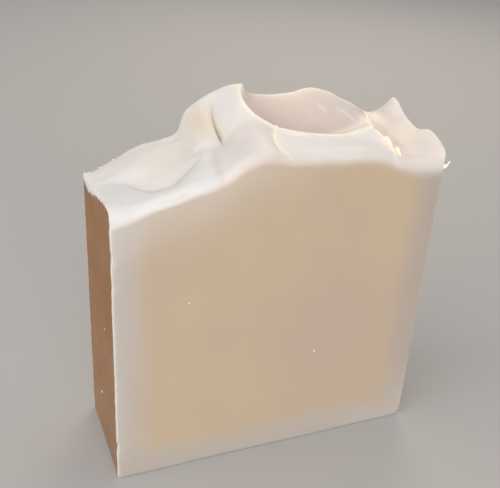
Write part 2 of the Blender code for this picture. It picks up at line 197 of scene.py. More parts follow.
def spaced(curve: np.ndarray, spacing: float) -> np.ndarray:
    """Resample a curve at about a given spacing, keeping its ends.

    Args:
        curve: points along the curve.
        spacing: the wanted distance between points.

    Returns:
        The evenly spaced points.
    """
    along = np.concatenate([[0.0], np.cumsum(np.linalg.norm(np.diff(curve, axis=0), axis=1))])
    stations = np.linspace(0.0, along[-1], max(2, round(along[-1] / spacing) + 1))
    return np.stack([np.interp(stations, along, curve[:, k]) for k in range(curve.shape[1])], axis=1)


def distance_to(path: np.ndarray, points: np.ndarray) -> tuple[np.ndarray, np.ndarray]:
    """Measure how far points in plan lie from a path.

    Args:
        path: the path's points in plan.
        points: the points to measure from.

    Returns:
        The distances, and the share of the path's length at each nearest spot.
    """
    best = np.full(len(points), np.inf)
    share = np.zeros(len(points))
    legs = np.diff(path, axis=0)
    lengths = np.linalg.norm(legs, axis=1)
    done = np.concatenate([[0.0], np.cumsum(lengths)])
    for start, leg, length, before in zip(path, legs, lengths, done):
        along = np.clip((points - start) @ leg / length ** 2, 0.0, 1.0)
        away = np.linalg.norm(points - start - along[:, None] * leg, axis=1)
        nearer = away < best
        best[nearer] = away[nearer]
        share[nearer] = (before + along[nearer] * length) / done[-1]
    return best, share


def inside(points: np.ndarray, outline: np.ndarray) -> np.ndarray:
    """Say which points lie inside a closed outline.

    Args:
        points: points in plan.
        outline: the outline's corners in plan.

    Returns:
        One flag for each point.
    """
    x, y = points[:, 0], points[:, 1]
    flags = np.zeros(len(points), bool)
    for (x0, y0), (x1, y1) in zip(outline, np.roll(outline, -1, axis=0)):
        if y0 == y1:
            continue
        crosses = (y0 > y) != (y1 > y)
        flags ^= crosses & (x < (x1 - x0) * (y - y0) / (y1 - y0) + x0)
    return flags


def smoothstep(low: float, high: float, value: np.ndarray) -> np.ndarray:
    """Ease from 0 at low to 1 at high."""
    t = np.clip((value - low) / (high - low), 0.0, 1.0)
    return t * t * (3.0 - 2.0 * t)


def hump(away: np.ndarray, reach: float) -> np.ndarray:
    """Fall from 1 on a line to almost nothing at twice its reach."""
    return np.exp(-(away / reach) ** 2)


def swell(share: np.ndarray, power: float = 0.5) -> np.ndarray:
    """Grow from 0 at both ends of a line to 1 at its middle."""
    return np.sin(np.pi * share) ** power


def grain(points: np.ndarray, layers: tuple[Span, ...]) -> np.ndarray:
    """Add up layers of smooth noise.

    Args:
        points: where it is read.
        layers: the scale and the strength of each layer.

    Returns:
        The noise at each point.
    """
    total = np.zeros(len(points))
    for scale, strength in layers:
        total += strength * np.array([noise.noise(Vector(p) * scale) for p in points])
    return total


def spread_out(batches: list[tuple[np.ndarray, float]]) -> np.ndarray:
    """Join batches of points in plan, dropping each point that crowds an earlier one.

    Args:
        batches: points, and how far each must stay from those before.

    Returns:
        The points that are kept.
    """
    bins: dict[tuple[int, int], list[np.ndarray]] = {}
    kept = []
    for points, gap in batches:
        for point in points:
            column, row = (math.floor(v / BIN_SIDE) for v in point)
            around = [(column + i, row + j) for i in (-1, 0, 1) for j in (-1, 0, 1)] if gap else []
            near = [q for key in around for q in bins.get(key, ())]
            if any((q[0] - point[0]) ** 2 + (q[1] - point[1]) ** 2 < gap * gap for q in near):
                continue
            bins.setdefault((column, row), []).append(point)
            kept.append(point)
    return np.array(kept)


class ThinPlate:
    """A smooth surface through given heights."""

    STIFFNESS = 0.03
    BLOCKS = 16
    TOUCHING = 1e-9

    def __init__(self, points: np.ndarray) -> None:
        """Fit the plate.

        Args:
            points: plan positions and heights, one row each.
        """
        self.centres = points[:, :2]
        count = len(points)
        plane = np.hstack([np.ones((count, 1)), self.centres])
        kernel = self._kernel(self.centres) + self.STIFFNESS * np.eye(count)
        system = np.block([[kernel, plane], [plane.T, np.zeros((3, 3))]])
        wanted = np.append(points[:, 2], np.zeros(3))
        self.weights = np.linalg.lstsq(system, wanted, rcond=None)[0]

    def _kernel(self, at: np.ndarray) -> np.ndarray:
        """Return r^2 log r from each point to each centre."""
        away = np.linalg.norm(at[:, None] - self.centres[None], axis=2)
        return away ** 2 * np.log(np.maximum(away, self.TOUCHING))

    def height(self, at: np.ndarray) -> np.ndarray:
        """Return the plate's height at each point in plan."""
        parts = [self._kernel(block) @ self.weights[:-3] for block in np.array_split(at, self.BLOCKS)]
        return np.concatenate(parts) + self.weights[-3] + at @ self.weights[-2:]


# The lines between the folds, then the outer edges of the top, in millimetres. Lips carry a painted glow
# along them and grooves a painted shade.
LINES = {
    "left_crease": FoldLine(
        ((-35, 5.5, 62.5), (-32.4, 4, 63.3), (-30.5, 2.5, 63.8), (-29, 0.5, 64.3), (-27.7, -2.5, 64.8),
         (-26.8, -4.2, 65), (-25.5, -5.5, 65.2), (-24.2, -6.3, 65.6), (-22.6, -7, 66.2),
         (-21.4, -7, 66.7), (-20.3, -6.5, 67.2), (-18.5, -5.2, 67.9), (-16.7, -3.8, 68.8),
         (-15.1, -2.5, 69.6), (-13.7, -1.6, 70.4), (-12.2, -1.2, 70.8), (-9.7, -0.6, 71.3)),
        Profile.GROOVE, 0.28, 0.5, (0.62, 0.3), painted_light=0.45),
    "notch": FoldLine(
        ((-9.7, -0.6, 71.3), (-9.5, 0.8, 72.1), (-9.5, 2.8, 72.9), (-9.5, 4.8, 73.8), (-9.2, 7.2, 74.9),
         (-8.6, 9.3, 75.9), (-8.2, 12.7, 77.4)),
        Profile.GROOVE, 0.7, 0.34, (0.1, 0.75), merge=2.4, painted_light=0.65),
    "rim_left": FoldLine(
        ((-0.9, 12.7, 79), (-2.6, 9.5, 78.8), (-3.5, 6, 78.3), (-3.2, 3.2, 77.2), (-2.2, 1.4, 76.2),
         (-0.8, 0.2, 75.3), (0.6, -0.6, 74.5), (1.6, -1, 73.9)),
        Profile.LIP_WITH_PAINTED_GLOW, 0.26, 0.28, (0.12, 0.0)),
    "rim_front": FoldLine(
        ((1.6, -1, 73.9), (3.7, -1.3, 73.4), (6.9, -1.8, 72.8), (10.1, -2.2, 72.2), (13.6, -2.3, 71.7),
         (17.3, -1.9, 71.4), (20.5, -0.8, 71.4), (22.9, 0.3, 71.4), (24.6, 0.6, 71.2)),
        Profile.LIP_WITH_PAINTED_GLOW, 0.22, 0.26),
    "rim_right": FoldLine(
        ((24.6, 0.6, 71.2), (25.1, 1.8, 71.2), (26.5, 5, 70.8), (28, 8.3, 70.4), (28.8, 10.5, 70.2),
         (29.5, 12.7, 70.1)),
        Profile.LIP_WITH_PAINTED_GLOW, 0.24, 0.28),
    "apron_seam": FoldLine(
        ((1.6, -1, 73.9), (0.5, -3.2, 73.2), (-0.3, -6.2, 72.8), (-0.6, -8.5, 72.7), (-0.6, -10.6, 72.7),
         (0.2, -12, 72.6), (1.4, -12.7, 72.4)),
        Profile.LIP_WITH_PAINTED_GLOW, 0.15, 0.22, (0.0, 0.3), painted_light=0.9),
    "right_ridge": FoldLine(
        ((24.6, 0.6, 71.2), (25, -1.2, 71), (25, -3.2, 70.9), (24.7, -6, 70.8), (24.2, -9, 70.5),
         (23.7, -12.7, 70)),
        Profile.LIP_WITH_PAINTED_GLOW, 0.25, 0.32, (0.0, 0.2)),
    "front_left_edge": FoldLine(
        ((-35, -12.7, 64.7), (-31, -12.7, 65), (-28.4, -12.7, 65.7), (-26, -12.7, 66.4),
         (-22, -12.7, 67.5), (-18, -12.7, 68.5), (-15, -12.7, 68.9), (-13.4, -12.7, 69.4),
         (-12, -12.7, 70.2), (-10.5, -12.7, 71.3), (-8.2, -12.7, 72.6), (-5.9, -12.7, 73.4),
         (-3, -12.7, 73.4), (-0.5, -12.7, 72.8), (1.4, -12.7, 72.4))),
    "front_apron_edge": FoldLine(
        ((1.4, -12.7, 72.4), (8.6, -12.7, 72.2), (15, -12.7, 71.8), (18.6, -12.7, 71.4),
         (21.5, -12.7, 70.8), (23.7, -12.7, 70))),
    "front_right_edge": FoldLine(
        ((23.7, -12.7, 70), (26, -12.7, 69.5), (29.5, -12.7, 69.3), (33, -12.7, 69.7), (35, -12.7, 70.2))),
    # The right edge has no lip, only a painted glow along it.
    "right_edge": FoldLine(
        ((35, -12.7, 70.2), (35, -10.2, 71.4), (35, -7.6, 72.2), (35, -5.2, 72.4), (35, -3, 71.6),
         (35, -1.2, 71), (35, 1, 71.1), (35, 3.7, 71.8), (35, 6.2, 72.8), (35, 7.8, 73.8),
         (35, 9.4, 74.3), (35, 10.7, 74.1), (35, 12.7, 71.9)),
        Profile.LIP_WITH_PAINTED_GLOW, 0.0, 0.3, painted_light=0.7),
    "back_right_edge": FoldLine(
        ((35, 12.7, 71.9), (33.6, 12.7, 71), (31.5, 12.7, 70.3), (29.5, 12.7, 70.1))),
    "back_scoop_edge": FoldLine(
        ((29.5, 12.7, 70.1), (28, 12.7, 71.1), (25.3, 12.7, 72.9), (22.4, 12.7, 74.2), (20, 12.7, 75.6),
         (17.4, 12.7, 76.6), (15, 12.7, 77), (13, 12.7, 76.9), (11.2, 12.7, 76.4), (8.8, 12.7, 76.2),
         (5.5, 12.7, 76.2), (2.5, 12.7, 76.5), (0.4, 12.7, 77.1), (-0.4, 12.7, 78),
         (-0.9, 12.7, 79)),
        Profile.LIP_WITH_PAINTED_GLOW, 0.08, 0.3, (0.0, 0.3)),
    "back_mound_edge": FoldLine(
        ((-0.9, 12.7, 79), (-2.2, 12.7, 79.1), (-4.4, 12.7, 78.8), (-8.2, 12.7, 77.4))),
    "back_left_edge": FoldLine(
        ((-8.2, 12.7, 77.4), (-9.9, 12.7, 76.5), (-12.3, 12.7, 74.8), (-13.5, 12.7, 73.5),
         (-14, 12.7, 72.2), (-14.4, 12.7, 70.8), (-15.2, 12.7, 69.2), (-16.3, 12.7, 68.6),
         (-19.6, 12.7, 67.9), (-22.8, 12.7, 67.3), (-27.1, 12.7, 65.3), (-30.8, 12.7, 63.4),
         (-32.4, 12.7, 62.5), (-35, 12.7, 62.2))),
    "left_back_edge": FoldLine(((-35, 12.7, 62.2), (-35, 9, 62.1), (-35, 5.5, 62.5))),
    "left_front_edge": FoldLine(
        ((-35, 5.5, 62.5), (-35, 2, 63.1), (-35, -2.8, 64.1), (-35, -7.4, 64.9), (-35, -10.8, 65.3),
         (-35, -12.7, 64.7))),
}

DRAWN_LINES = {name: line for name, line in LINES.items() if line.profile is not Profile.PLAIN}
FRONT_EDGES = ("front_left_edge", "front_apron_edge", "front_right_edge")
SCOOP_RIMS = ("rim_left", "rim_front", "rim_right")

# The steep left flank of the lobe beside the notch: shares of its rise across the bar, and its foot
# and crest at steps through the bar.
FLANK_PROFILE = ((-15.2, 0.0), (-14.6, 0.13), (-14.0, 0.38), (-13.4, 0.6), (-12.3, 0.8), (-10.7, 1.0))
FLANK_ROWS = ((11.2, 69.2, 76.1), (9.6, 69.3, 75.7), (8.0, 69.3, 75.2), (6.4, 69.2, 74.7), (4.8, 69.1, 74.1),
              (3.2, 69.1, 73.4), (1.9, 69.2, 72.8))
FLANK = tuple((x, y, foot + (crest - foot) * share)
              for y, foot, crest in FLANK_ROWS for x, share in FLANK_PROFILE)

# Each fold of the top, with its outline run anticlockwise. A minus runs a line backwards.
REGIONS = {
    "left_fold": FoldRegion(
        ("left_crease", "notch", "back_left_edge", "left_back_edge"),
        ((-32.4, 8, 63.3), (-31, 10, 63.9), (-29.5, 6, 65), (-29.1, 4, 65.4), (-27.6, 2, 66.1),
         (-25.8, 1, 66.8), (-23.6, 1.5, 67.5), (-21.5, 2, 68), (-19.1, 3, 68.4), (-16.7, 4, 68.9),
         (-24.7, -2.5, 66.2), (-23, -3.5, 66.9), (-20.9, -3, 67.6), (-18.4, -1.5, 68.3),
         (-16.4, 0, 68.9), (-27, 7, 66.6), (-23, 7.5, 67.9), (-19.5, 8, 68.5), (-16.5, 8, 69),
         *FLANK,
         (-14.4, 0.6, 69.5), (-13.6, 0.7, 70.5), (-12.6, 0.7, 71.4), (-11, 0.7, 72))),
    "middle": FoldRegion(
        ("front_left_edge", "-apron_seam", "-rim_left", "back_mound_edge", "-notch", "-left_crease",
         "left_front_edge"),
        ((-33, -8, 65), (-32, -2, 64.2), (-29.5, -9, 65.4), (-29, -5, 65.2), (-25, -9.5, 66.5),
         (-22, -10, 67.4), (-18.5, -9.5, 68.6), (-16, -7, 69.4), (-17.6, -7.3, 68.9), (-13.2, -5.5, 70.2),
         (-13.6, -9, 69.8), (-11.2, -4, 71.1), (-11.2, -8, 71.2), (-9, -9.5, 72.4), (-8.5, -5.5, 72.5),
         (-7.6, -2, 73.3), (-8, 1, 73.6), (-5.5, -10, 73.6), (-5, -6, 73.8), (-3, -3, 74.4),
         (-4, 0, 75.3), (-0.6, -2, 74.2), (-2.5, -9, 73.4), (-2, -6, 73.6), (-7.6, 4, 75),
         (-5.2, 3, 76.2), (-7, 8, 76.5), (-5, 7, 77.4), (-5, 10, 78))),
    "scoop": FoldRegion(
        ("rim_left", "rim_front", "rim_right", "back_scoop_edge"),
        ((-1.6, 9, 76.9), (0.8, 9, 75.2), (4, 9, 74), (8, 9, 73.6), (14, 9, 73.8), (19, 9, 73),
         (23.6, 9, 71.8), (26.6, 9.5, 71.1), (-1.4, 5, 75.6), (1, 5, 73.4), (5, 4, 70.8), (10, 3.5, 69.8),
         (16, 3.5, 69.6), (21, 4.5, 69.9), (25, 5, 70.5), (4, 1, 71.6), (8, 0.4, 70.8), (14.5, 0.2, 70),
         (20, 1.5, 70.4), (23.6, 2.2, 70.8))),
    "apron": FoldRegion(
        ("apron_seam", "front_apron_edge", "-right_ridge", "-rim_front"),
        ((4, -4, 73), (9, -5, 72.3), (15, -5.5, 71.7), (21, -4, 71.2), (4, -9, 72.6), (10, -9, 72.3),
         (16, -9, 71.9), (21, -9, 71.1))),
    "right": FoldRegion(
        ("right_ridge", "front_right_edge", "right_edge", "back_right_edge", "-rim_right"),
        ((28.5, 3, 70.3), (29, -3, 70), (28.5, -8, 69.8), (31, 8, 70.8), (31.5, 3, 70.4), (31.5, -3, 70.5),
         (31.5, -8, 70.6), (33.5, 9.5, 72.6), (33.4, 6, 71.8), (33.5, 0.5, 70.8), (33.5, -5.5, 71.7),
         (33.5, -9, 71.2), (32.6, 11.4, 71))),
}

# Soft hollows and small scars in the folds, in plan. Some carry painted shade, two a painted glow beside the
# scoop's front rim, and three raised streaks on the scoop's far wall painted highlights.
DENTS = (
    Dent(((-11.4, -1.4), (-12.6, -5), (-13.4, -9), (-13.4, -12.4)), 0.13, 0.8, 0.3),
    Dent(((-12.6, 12.4), (-12.4, 8), (-12.2, 4), (-12.2, 0)), 0.0, 1.7, 0.42),
    Dent(((-9.6, 0.6), (-9.5, 2.4), (-9.6, 4.4)), 0.55, 0.28),
    Dent(((-26.6, -4.6), (-26, -5.2), (-25.3, -5.7)), 0.3, 0.28, 0.5),
    Dent(((1.8, -1.8), (4.6, -2.5), (8.4, -3.1)), 0.0, 0.7, 0.6, Tone.LIP_WITH_PAINTED_GLOW),
    Dent(((18.5, 0.6), (22, 1.6), (24.8, 2.2)), 0.0, 0.9, 0.8, Tone.LIP_WITH_PAINTED_GLOW),
    # Three raised streaks on the scoop's far wall, where taking off the scoop's tone leaves painted
    # highlights.
    Dent(((15.3, 9.5), (16.5, 9), (17.8, 8.4)), -0.05, 0.4, -0.9, Tone.SCOOP),
    Dent(((20.1, 9.5), (21.7, 9), (23.3, 8)), -0.05, 0.4, -0.9, Tone.SCOOP),
    Dent(((22.4, 8.4), (23.5, 7.4), (24.2, 6.4)), -0.04, 0.35, -0.7, Tone.SCOOP),
)

# Place and size of each loose speck of soap on the cut face, the left mould face and the edges.
CRUMBS = (
    ((-19.7, -12.72, 43.1), 0.28), ((9.5, -12.72, 24.9), 0.32), ((-34.98, 1.6, 13.2), 0.4),
    ((-35.0, -4.0, 34.0), 0.25), ((-5.0, -12.72, 55.0), 0.14), ((20.5, -12.72, 20.0), 0.16),
    ((-26.0, -12.72, 24.0), 0.16), ((-34.8, -4.4, 64.3), 0.3), ((-34.7, -7.3, 64.8), 0.36),
    ((-34.6, -9.6, 64.9), 0.28), ((-34.2, -11.4, 64.3), 0.3), ((-31.6, 12.2, 63.1), 0.26),
    ((-28.7, 12.3, 64.6), 0.22), ((-25.6, 12.3, 66.1), 0.2), ((-15.3, 12.3, 69.0), 0.2),
    ((-13.5, 12.3, 73.4), 0.2))


class FoldedTop:
    """The spooned top, as a height over the plan."""

    LINE_SPACING = 1.1
    MERGE_GROWS = (0.3, 0.8)
    DENT_POWER = 0.7

    def __init__(self) -> None:
        """Fit a thin plate to each fold."""
        self.curves = {name: smooth_curve(line.points) for name, line in LINES.items()}
        self.outlines = {}
        self.plates = {}
        for name, region in REGIONS.items():
            runs = [self._run(line) for line in region.outline]
            self.outlines[name] = np.vstack([run[:-1, :2] for run in runs])
            rows = [spaced(run, self.LINE_SPACING) for run in runs]
            points = np.vstack([*rows, np.array(region.inner, float)])
            _, first = np.unique(np.round(points[:, :2], 1), axis=0, return_index=True)
            self.plates[name] = ThinPlate(points[np.sort(first)])

    def _run(self, name: str) -> np.ndarray:
        """Return a named line's curve, backwards if the name has a minus."""
        curve = self.curves[name.lstrip("-")]
        return curve[::-1] if name.startswith("-") else curve

    def region_of(self, at: np.ndarray) -> np.ndarray:
        """Find the fold that each point in plan lies in.

        Args:
            at: points in plan.

        Returns:
            The fold's number for each point.
        """
        half = np.array([PLAN_WIDTH, PLAN_THICKNESS]) / 2 - EDGE_SLIP
        clamped = np.clip(at, -half, half)
        number = np.full(len(at), -1)
        for index, outline in enumerate(self.outlines.values()):
            number[(number < 0) & inside(clamped, outline)] = index
        lost = np.flatnonzero(number < 0)
        found = np.flatnonzero(number >= 0)
        for spot in lost:
            away = np.linalg.norm(at[found] - at[spot], axis=1)
            number[spot] = number[found[away.argmin()]]
        return number

    def height(self, at: np.ndarray, number: np.ndarray) -> np.ndarray:
        """Return the top's height.

        Args:
            at: points in plan.
            number: the fold that each point lies in.

        Returns:
            The heights, with grooves, lips and the notch on them.
        """
        height = np.zeros(len(at))
        for index, plate in enumerate(self.plates.values()):
            mine = number == index
            if mine.any():
                height[mine] = plate.height(at[mine])
        for name, line in LINES.items():
            if line.merge:
                self._merge(height, at, number, name)
        for name, line in DRAWN_LINES.items():
            away, share = distance_to(self.curves[name][:, :2], at)
            strength = line.rise * self.fade(share, line.fade)
            if line.profile is Profile.GROOVE:
                height -= strength * np.exp(-away / line.reach)
            else:
                height += strength * hump(away, line.reach)
        for dent in DENTS:
            away, share = distance_to(smooth_curve(dent.path), at)
            height -= dent.depth * hump(away, dent.reach) * swell(share, self.DENT_POWER)
        return height

    def _merge(self, height: np.ndarray, at: np.ndarray, number: np.ndarray, name: str) -> None:
        """Run the two folds beside a line into each other towards its end, in place.

        Args:
            height: the heights of the folds.
            at: points in plan.
            number: the fold that each point lies in.
            name: the line.
        """
        beside = [i for i, region in enumerate(REGIONS.values())
                  if name in region.outline or "-" + name in region.outline]
        away, share = distance_to(self.curves[name][:, :2], at)
        band = LINES[name].merge * smoothstep(*self.MERGE_GROWS, share)
        plates = list(self.plates.values())
        for own, other in (beside, beside[::-1]):
            mine = (number == own) & (away < band)
            if mine.any():
                give = 0.5 * (1.0 - smoothstep(0.0, 1.0, away[mine] / band[mine]))
                height[mine] += give * (plates[other].height(at[mine]) - height[mine])

    @staticmethod
    def fade(share: np.ndarray, fade: tuple[float, float]) -> np.ndarray:
        """Let a line's profile grow in over its first share and die out over its last.

        Args:
            share: how far along the line each point is.
            fade: the first share and the last.

        Returns:
            The profile's strength at each point.
        """
        grow = smoothstep(0.0, fade[0], share) if fade[0] else 1.0
        die = smoothstep(0.0, fade[1], 1.0 - share) if fade[1] else 1.0
        return grow * die


@dataclass(frozen=True)
class SoapFinish:
    """Waxy translucent soap.

    Attributes:
        core: colour of the gelled centre.
        cloud: colour of the faint clouds in the centre.
        cloud_grain: scale and detail of the clouds.
        cloud_range: the stretch of noise over which a cloud grows in.
        tones: colour of each tone over the centre, painted shade and painted glow among them.
        roughness: how soft the sheen is.
        sheen_grain: scale and detail of the sheen's unevenness.
        sheen_range: how far the roughness strays below and above.
        scoop_polish: the scoop's roughness, as a share of the rest's.
        pore_grain: scale and detail of the pores.
        pore_strength: how strongly the pores show.
        pore_depth: how deep they are, in metres.
        bending: the soap's index of refraction.
        weight: how much of the light goes through the soap rather than off its skin.
        glow: colour of the painted glow, light that the soap gives off itself in place of light shining
            through thin soap.
        glow_strength: how bright that painted glow is.
        depth: how far light spreads in the soap, in metres.
        spread: how far each of red, green and blue spreads, as shares of depth.
    """

    core: Colour = (0.70, 0.555, 0.39)
    cloud: Colour = (0.675, 0.535, 0.395)
    cloud_grain: Span = (55.0, 3.0)
    cloud_range: Span = (0.4, 0.62)
    tones: tuple[tuple[Tone, Colour], ...] = (
        (Tone.BLUSH, (0.66, 0.515, 0.41)),
        (Tone.RIND, (0.66, 0.60, 0.54)),
        # Painted shade along the right and lower edges of the cut faces.
        (Tone.PAINTED_SHADE, (0.565, 0.49, 0.42)),
        # The mould faces' brown: partly their own tan, partly painted shade and warm bounce light.
        (Tone.MOULD_SKIN_AND_SHADE, (0.345, 0.145, 0.032)),
        (Tone.TOP, (0.90, 0.87, 0.85)),
        (Tone.CREAM, (0.92, 0.85, 0.75)),
        (Tone.SCOOP, (0.84, 0.71, 0.64)),
        # Painted glow of light through thin soap along the lips and rims.
        (Tone.LIP_WITH_PAINTED_GLOW, (1.0, 0.89, 0.76)),
        # Warm painted shade in grooves, hollows, the notch and the scar.
        (Tone.PAINTED_CREASE_SHADE, (0.74, 0.57, 0.36)),
    )
    roughness: float = 0.46
    sheen_grain: Span = (900.0, 4.0)
    sheen_range: Span = (-0.06, 0.08)
    scoop_polish: float = 0.62
    pore_grain: Span = (700.0, 5.0)
    pore_strength: float = 0.15
    pore_depth: float = 0.0001
    bending: float = 1.45
    weight: float = 1.0
    glow: Colour = (1.0, 0.74, 0.46)
    glow_strength: float = 0.2
    depth: float = 0.0022
    spread: Colour = (1.0, 0.85, 0.7)

    def build(self, name: str) -> bpy.types.Material:
        """Make the material.

        Args:
            name: the material's name.

        Returns:
            The material, which reads a mesh layer for each tone.
        """
        material = bpy.data.materials.new(name)
        material.use_nodes = True
        shader = material.node_tree.nodes["Principled BSDF"]
        links = material.node_tree.links
        even = {
            "Subsurface Weight": self.weight,
            "Subsurface Radius": self.spread,
            "Subsurface Scale": self.depth,
            "IOR": self.bending,
            # Painted glow: the soap gives off light, evenly on a thin finish.
            "Emission Color": (*self.glow, 1.0),
            "Emission Strength": self.glow_strength,
        }
        for socket, value in even.items():
            shader.inputs[socket].default_value = value
        links.new(self._colour(material), shader.inputs["Base Color"])
        lowest, highest = (self.roughness + stray for stray in self.sheen_range)
        sheen = self._noise(material, self.sheen_grain, UNIT, (lowest, highest))
        if self.tones:
            spooned = self._mask(material, Tone.SCOOP)
            polish = self._stretched(material, spooned, UNIT, (1.0, self.scoop_polish))
            sheen = self._times(material, sheen, polish)
            # Painted glow along the lips, given off in place of light shining through thin soap.
            shine = self._times(material, self._mask(material, Tone.LIP_WITH_PAINTED_GLOW), self.glow_strength)
            links.new(shine, shader.inputs["Emission Strength"])
        links.new(sheen, shader.inputs["Roughness"])
        bump = material.node_tree.nodes.new("ShaderNodeBump")
        bump.inputs["Strength"].default_value = self.pore_strength
        bump.inputs["Distance"].default_value = self.pore_depth
        links.new(self._noise(material, self.pore_grain, UNIT, UNIT), bump.inputs["Height"])
        links.new(bump.outputs["Normal"], shader.inputs["Normal"])
        return material

    def _colour(self, material: bpy.types.Material) -> bpy.types.NodeSocket:
        """Lay the tones over the clouded centre.

        Args:
            material: the material to add them to.

        Returns:
            The soap's colour.
        """
        clouds = self._noise(material, self.cloud_grain, self.cloud_range, UNIT)
        colour = self._mix(material, self.core, self.cloud, clouds)
        for tone, over in self.tones:
            colour = self._mix(material, colour, over, self._mask(material, tone))
        return colour

    @staticmethod
    def _mask(material: bpy.types.Material, tone: Tone) -> bpy.types.NodeSocket:
        """Read the mesh layer that says where a tone shows.

        Args:
            material: the material to read it in.
            tone: the tone.

        Returns:
            The layer's value.
        """
        mask = material.node_tree.nodes.new("ShaderNodeAttribute")
        mask.attribute_name = tone.value
        return mask.outputs["Fac"]

    @staticmethod
    def _stretched(material: bpy.types.Material, value: bpy.types.NodeSocket, within: Span,
                   onto: Span) -> bpy.types.NodeSocket:
        """Stretch a value from one range onto another.

        Args:
            material: the material to add the stretch to.
            value: the value.
            within: the range that is stretched.
            onto: the range that it is stretched onto.

        Returns:
            The stretched value.
        """
        stretch = material.node_tree.nodes.new("ShaderNodeMapRange")
        for name, limit in zip(("From Min", "From Max", "To Min", "To Max"), (*within, *onto)):
            stretch.inputs[name].default_value = limit
        material.node_tree.links.new(value, stretch.inputs["Value"])
        return stretch.outputs["Result"]

    @staticmethod
    def _times(material: bpy.types.Material, value: bpy.types.NodeSocket,
               by: bpy.types.NodeSocket | float) -> bpy.types.NodeSocket:
        """Multiply a value.

        Args:
            material: the material to add the product to.
            value: the value.
            by: what it is multiplied by.

        Returns:
            The product.
        """
        product = material.node_tree.nodes.new("ShaderNodeMath")
        product.operation = "MULTIPLY"
        material.node_tree.links.new(value, product.inputs[0])
        if isinstance(by, float):
            product.inputs[1].default_value = by
        else:
            material.node_tree.links.new(by, product.inputs[1])
        return product.outputs["Value"]

    def _noise(self, material: bpy.types.Material, grain_of_it: Span, within: Span,
               onto: Span) -> bpy.types.NodeSocket:
        """Add smooth noise, stretched from one range onto another.

        Args:
            material: the material to add it to.
            grain_of_it: its scale, per metre, and how many finer layers it has.
            within: the range that is stretched.
            onto: the range that it is stretched onto.

        Returns:
            The stretched noise.
        """
        nodes = material.node_tree.nodes
        place_on_bar = nodes.new("ShaderNodeTexCoord").outputs["Object"]
        cloud = nodes.new("ShaderNodeTexNoise")
        for name, value in zip(("Scale", "Detail"), grain_of_it):
            cloud.inputs[name].default_value = value
        material.node_tree.links.new(place_on_bar, cloud.inputs["Vector"])
        return self._stretched(material, cloud.outputs["Fac"], within, onto)

    @staticmethod
    def _mix(material: bpy.types.Material, under: Colour | bpy.types.NodeSocket, over: Colour,
             mask: bpy.types.NodeSocket) -> bpy.types.NodeSocket:
        """Lay a colour over another.

        Args:
            material: the material to add the mix to.
            under: the colour below.
            over: the colour above.
            mask: how much of the colour above shows.

        Returns:
            The mixed colour.
        """
        nodes, links = material.node_tree.nodes, material.node_tree.links
        mix = nodes.new("ShaderNodeMix")
        mix.data_type = "RGBA"
        links.new(mask, mix.inputs["Factor"])
        if isinstance(under, tuple):
            mix.inputs["A"].default_value = (*under, 1.0)
        else:
            links.new(under, mix.inputs["A"])
        mix.inputs["B"].default_value = (*over, 1.0)
        return mix.outputs["Result"]


def closed_mesh(name: str, points: np.ndarray, faces: list[Face], stretch: float) -> bpy.types.Object:
    """Make a smooth closed piece from points in millimetres.

    Args:
        name: the piece's name.
        points: its vertices.
        faces: its faces, as vertex numbers.
        stretch: how much wider the bar is than its plan.

    Returns:
        The piece, in metres, with its faces pointing out.
    """
    mesh = bpy.data.meshes.new(name)
    placed = np.asarray(points) * np.array([stretch, 1.0, 1.0]) * MM
    mesh.from_pydata([tuple(p) for p in placed], [], faces)
    shape = bmesh.new()
    shape.from_mesh(mesh)
    bmesh.ops.recalc_face_normals(shape, faces=shape.faces[:])
    shape.to_mesh(mesh)
    shape.free()
    mesh.shade_smooth()
    piece = bpy.data.objects.new(name, mesh)
    bpy.context.collection.objects.link(piece)
    return piece


def band(above: Sequence[int], below: Sequence[int]) -> list[Face]:
    """Join two rings of vertices with a band of faces.

    Args:
        above: the vertex numbers of one ring.
        below: the vertex numbers of the other.

    Returns:
        The band's faces.
    """
    turned = [*range(1, len(above)), 0]
    return [(above[i], below[i], below[j], above[j]) for i, j in enumerate(turned)]


def loft(rings: np.ndarray) -> list[Face]:
    """Join rings of points into a closed skin.

    Args:
        rings: the rings, each with the same number of points.

    Returns:
        The faces, with the two ends capped.
    """
    count, sides = rings.shape[:2]
    rows = np.arange(count * sides).reshape(count, sides).tolist()
    faces = [face for row, after in zip(rows, rows[1:]) for face in band(row, after)]
    return [*faces, tuple(reversed(rows[0])), tuple(rows[-1])]


def triangulate(ring: np.ndarray, inner: np.ndarray) -> tuple[np.ndarray, list[Face], list[list[int]]]:
    """Fill a ring with triangles through the points inside it.

    Args:
        ring: the outline's points, anticlockwise.
        inner: the points inside it.

    Returns:
        The points in a new order, the triangles, and the old numbers of each new point.
    """
    corners = [tuple(point) for point in np.vstack([ring, inner])]
    whole_ring = list(range(len(ring)))
    filled = delaunay_2d_cdt(corners, [], [whole_ring], CLIP_TO_RING, SAME_POINT)
    return np.array([tuple(v) for v in filled[0]]), [tuple(face) for face in filled[2]], filled[3]


@dataclass(frozen=True)
class LipScar:
    """The scar that the cutting wire tore below the front lip.

    Attributes:
        path: its points across the bar and up it.
        width: how wide it is.
        sink: how deep it is.
        painted_light: how strongly the painted shade of a groove shows in it.
        reach_in: how far in from the cut face the soap is torn.
    """

    path: tuple[Spot, ...] = ((-25.8, 65.6), (-24.0, 66.0), (-22.1, 66.4), (-20.2, 67.1), (-18.4, 67.6))
    width: float = 0.16
    sink: float = 0.4
    painted_light: float = 0.12
    reach_in: float = 1.2

    def strength(self, points: np.ndarray, cut_face: float) -> np.ndarray:
        """Work out how strongly the scar marks each vertex.

        Args:
            points: the bar's vertices.
            cut_face: where the front cut face stands.

        Returns:
            A strength for each vertex, from 0 to 1.
        """
        away, share = distance_to(smooth_curve(self.path), points[:, [0, 2]])
        on_face = points[:, 1] < cut_face + self.reach_in
        return on_face * hump(away, self.width) * swell(share)


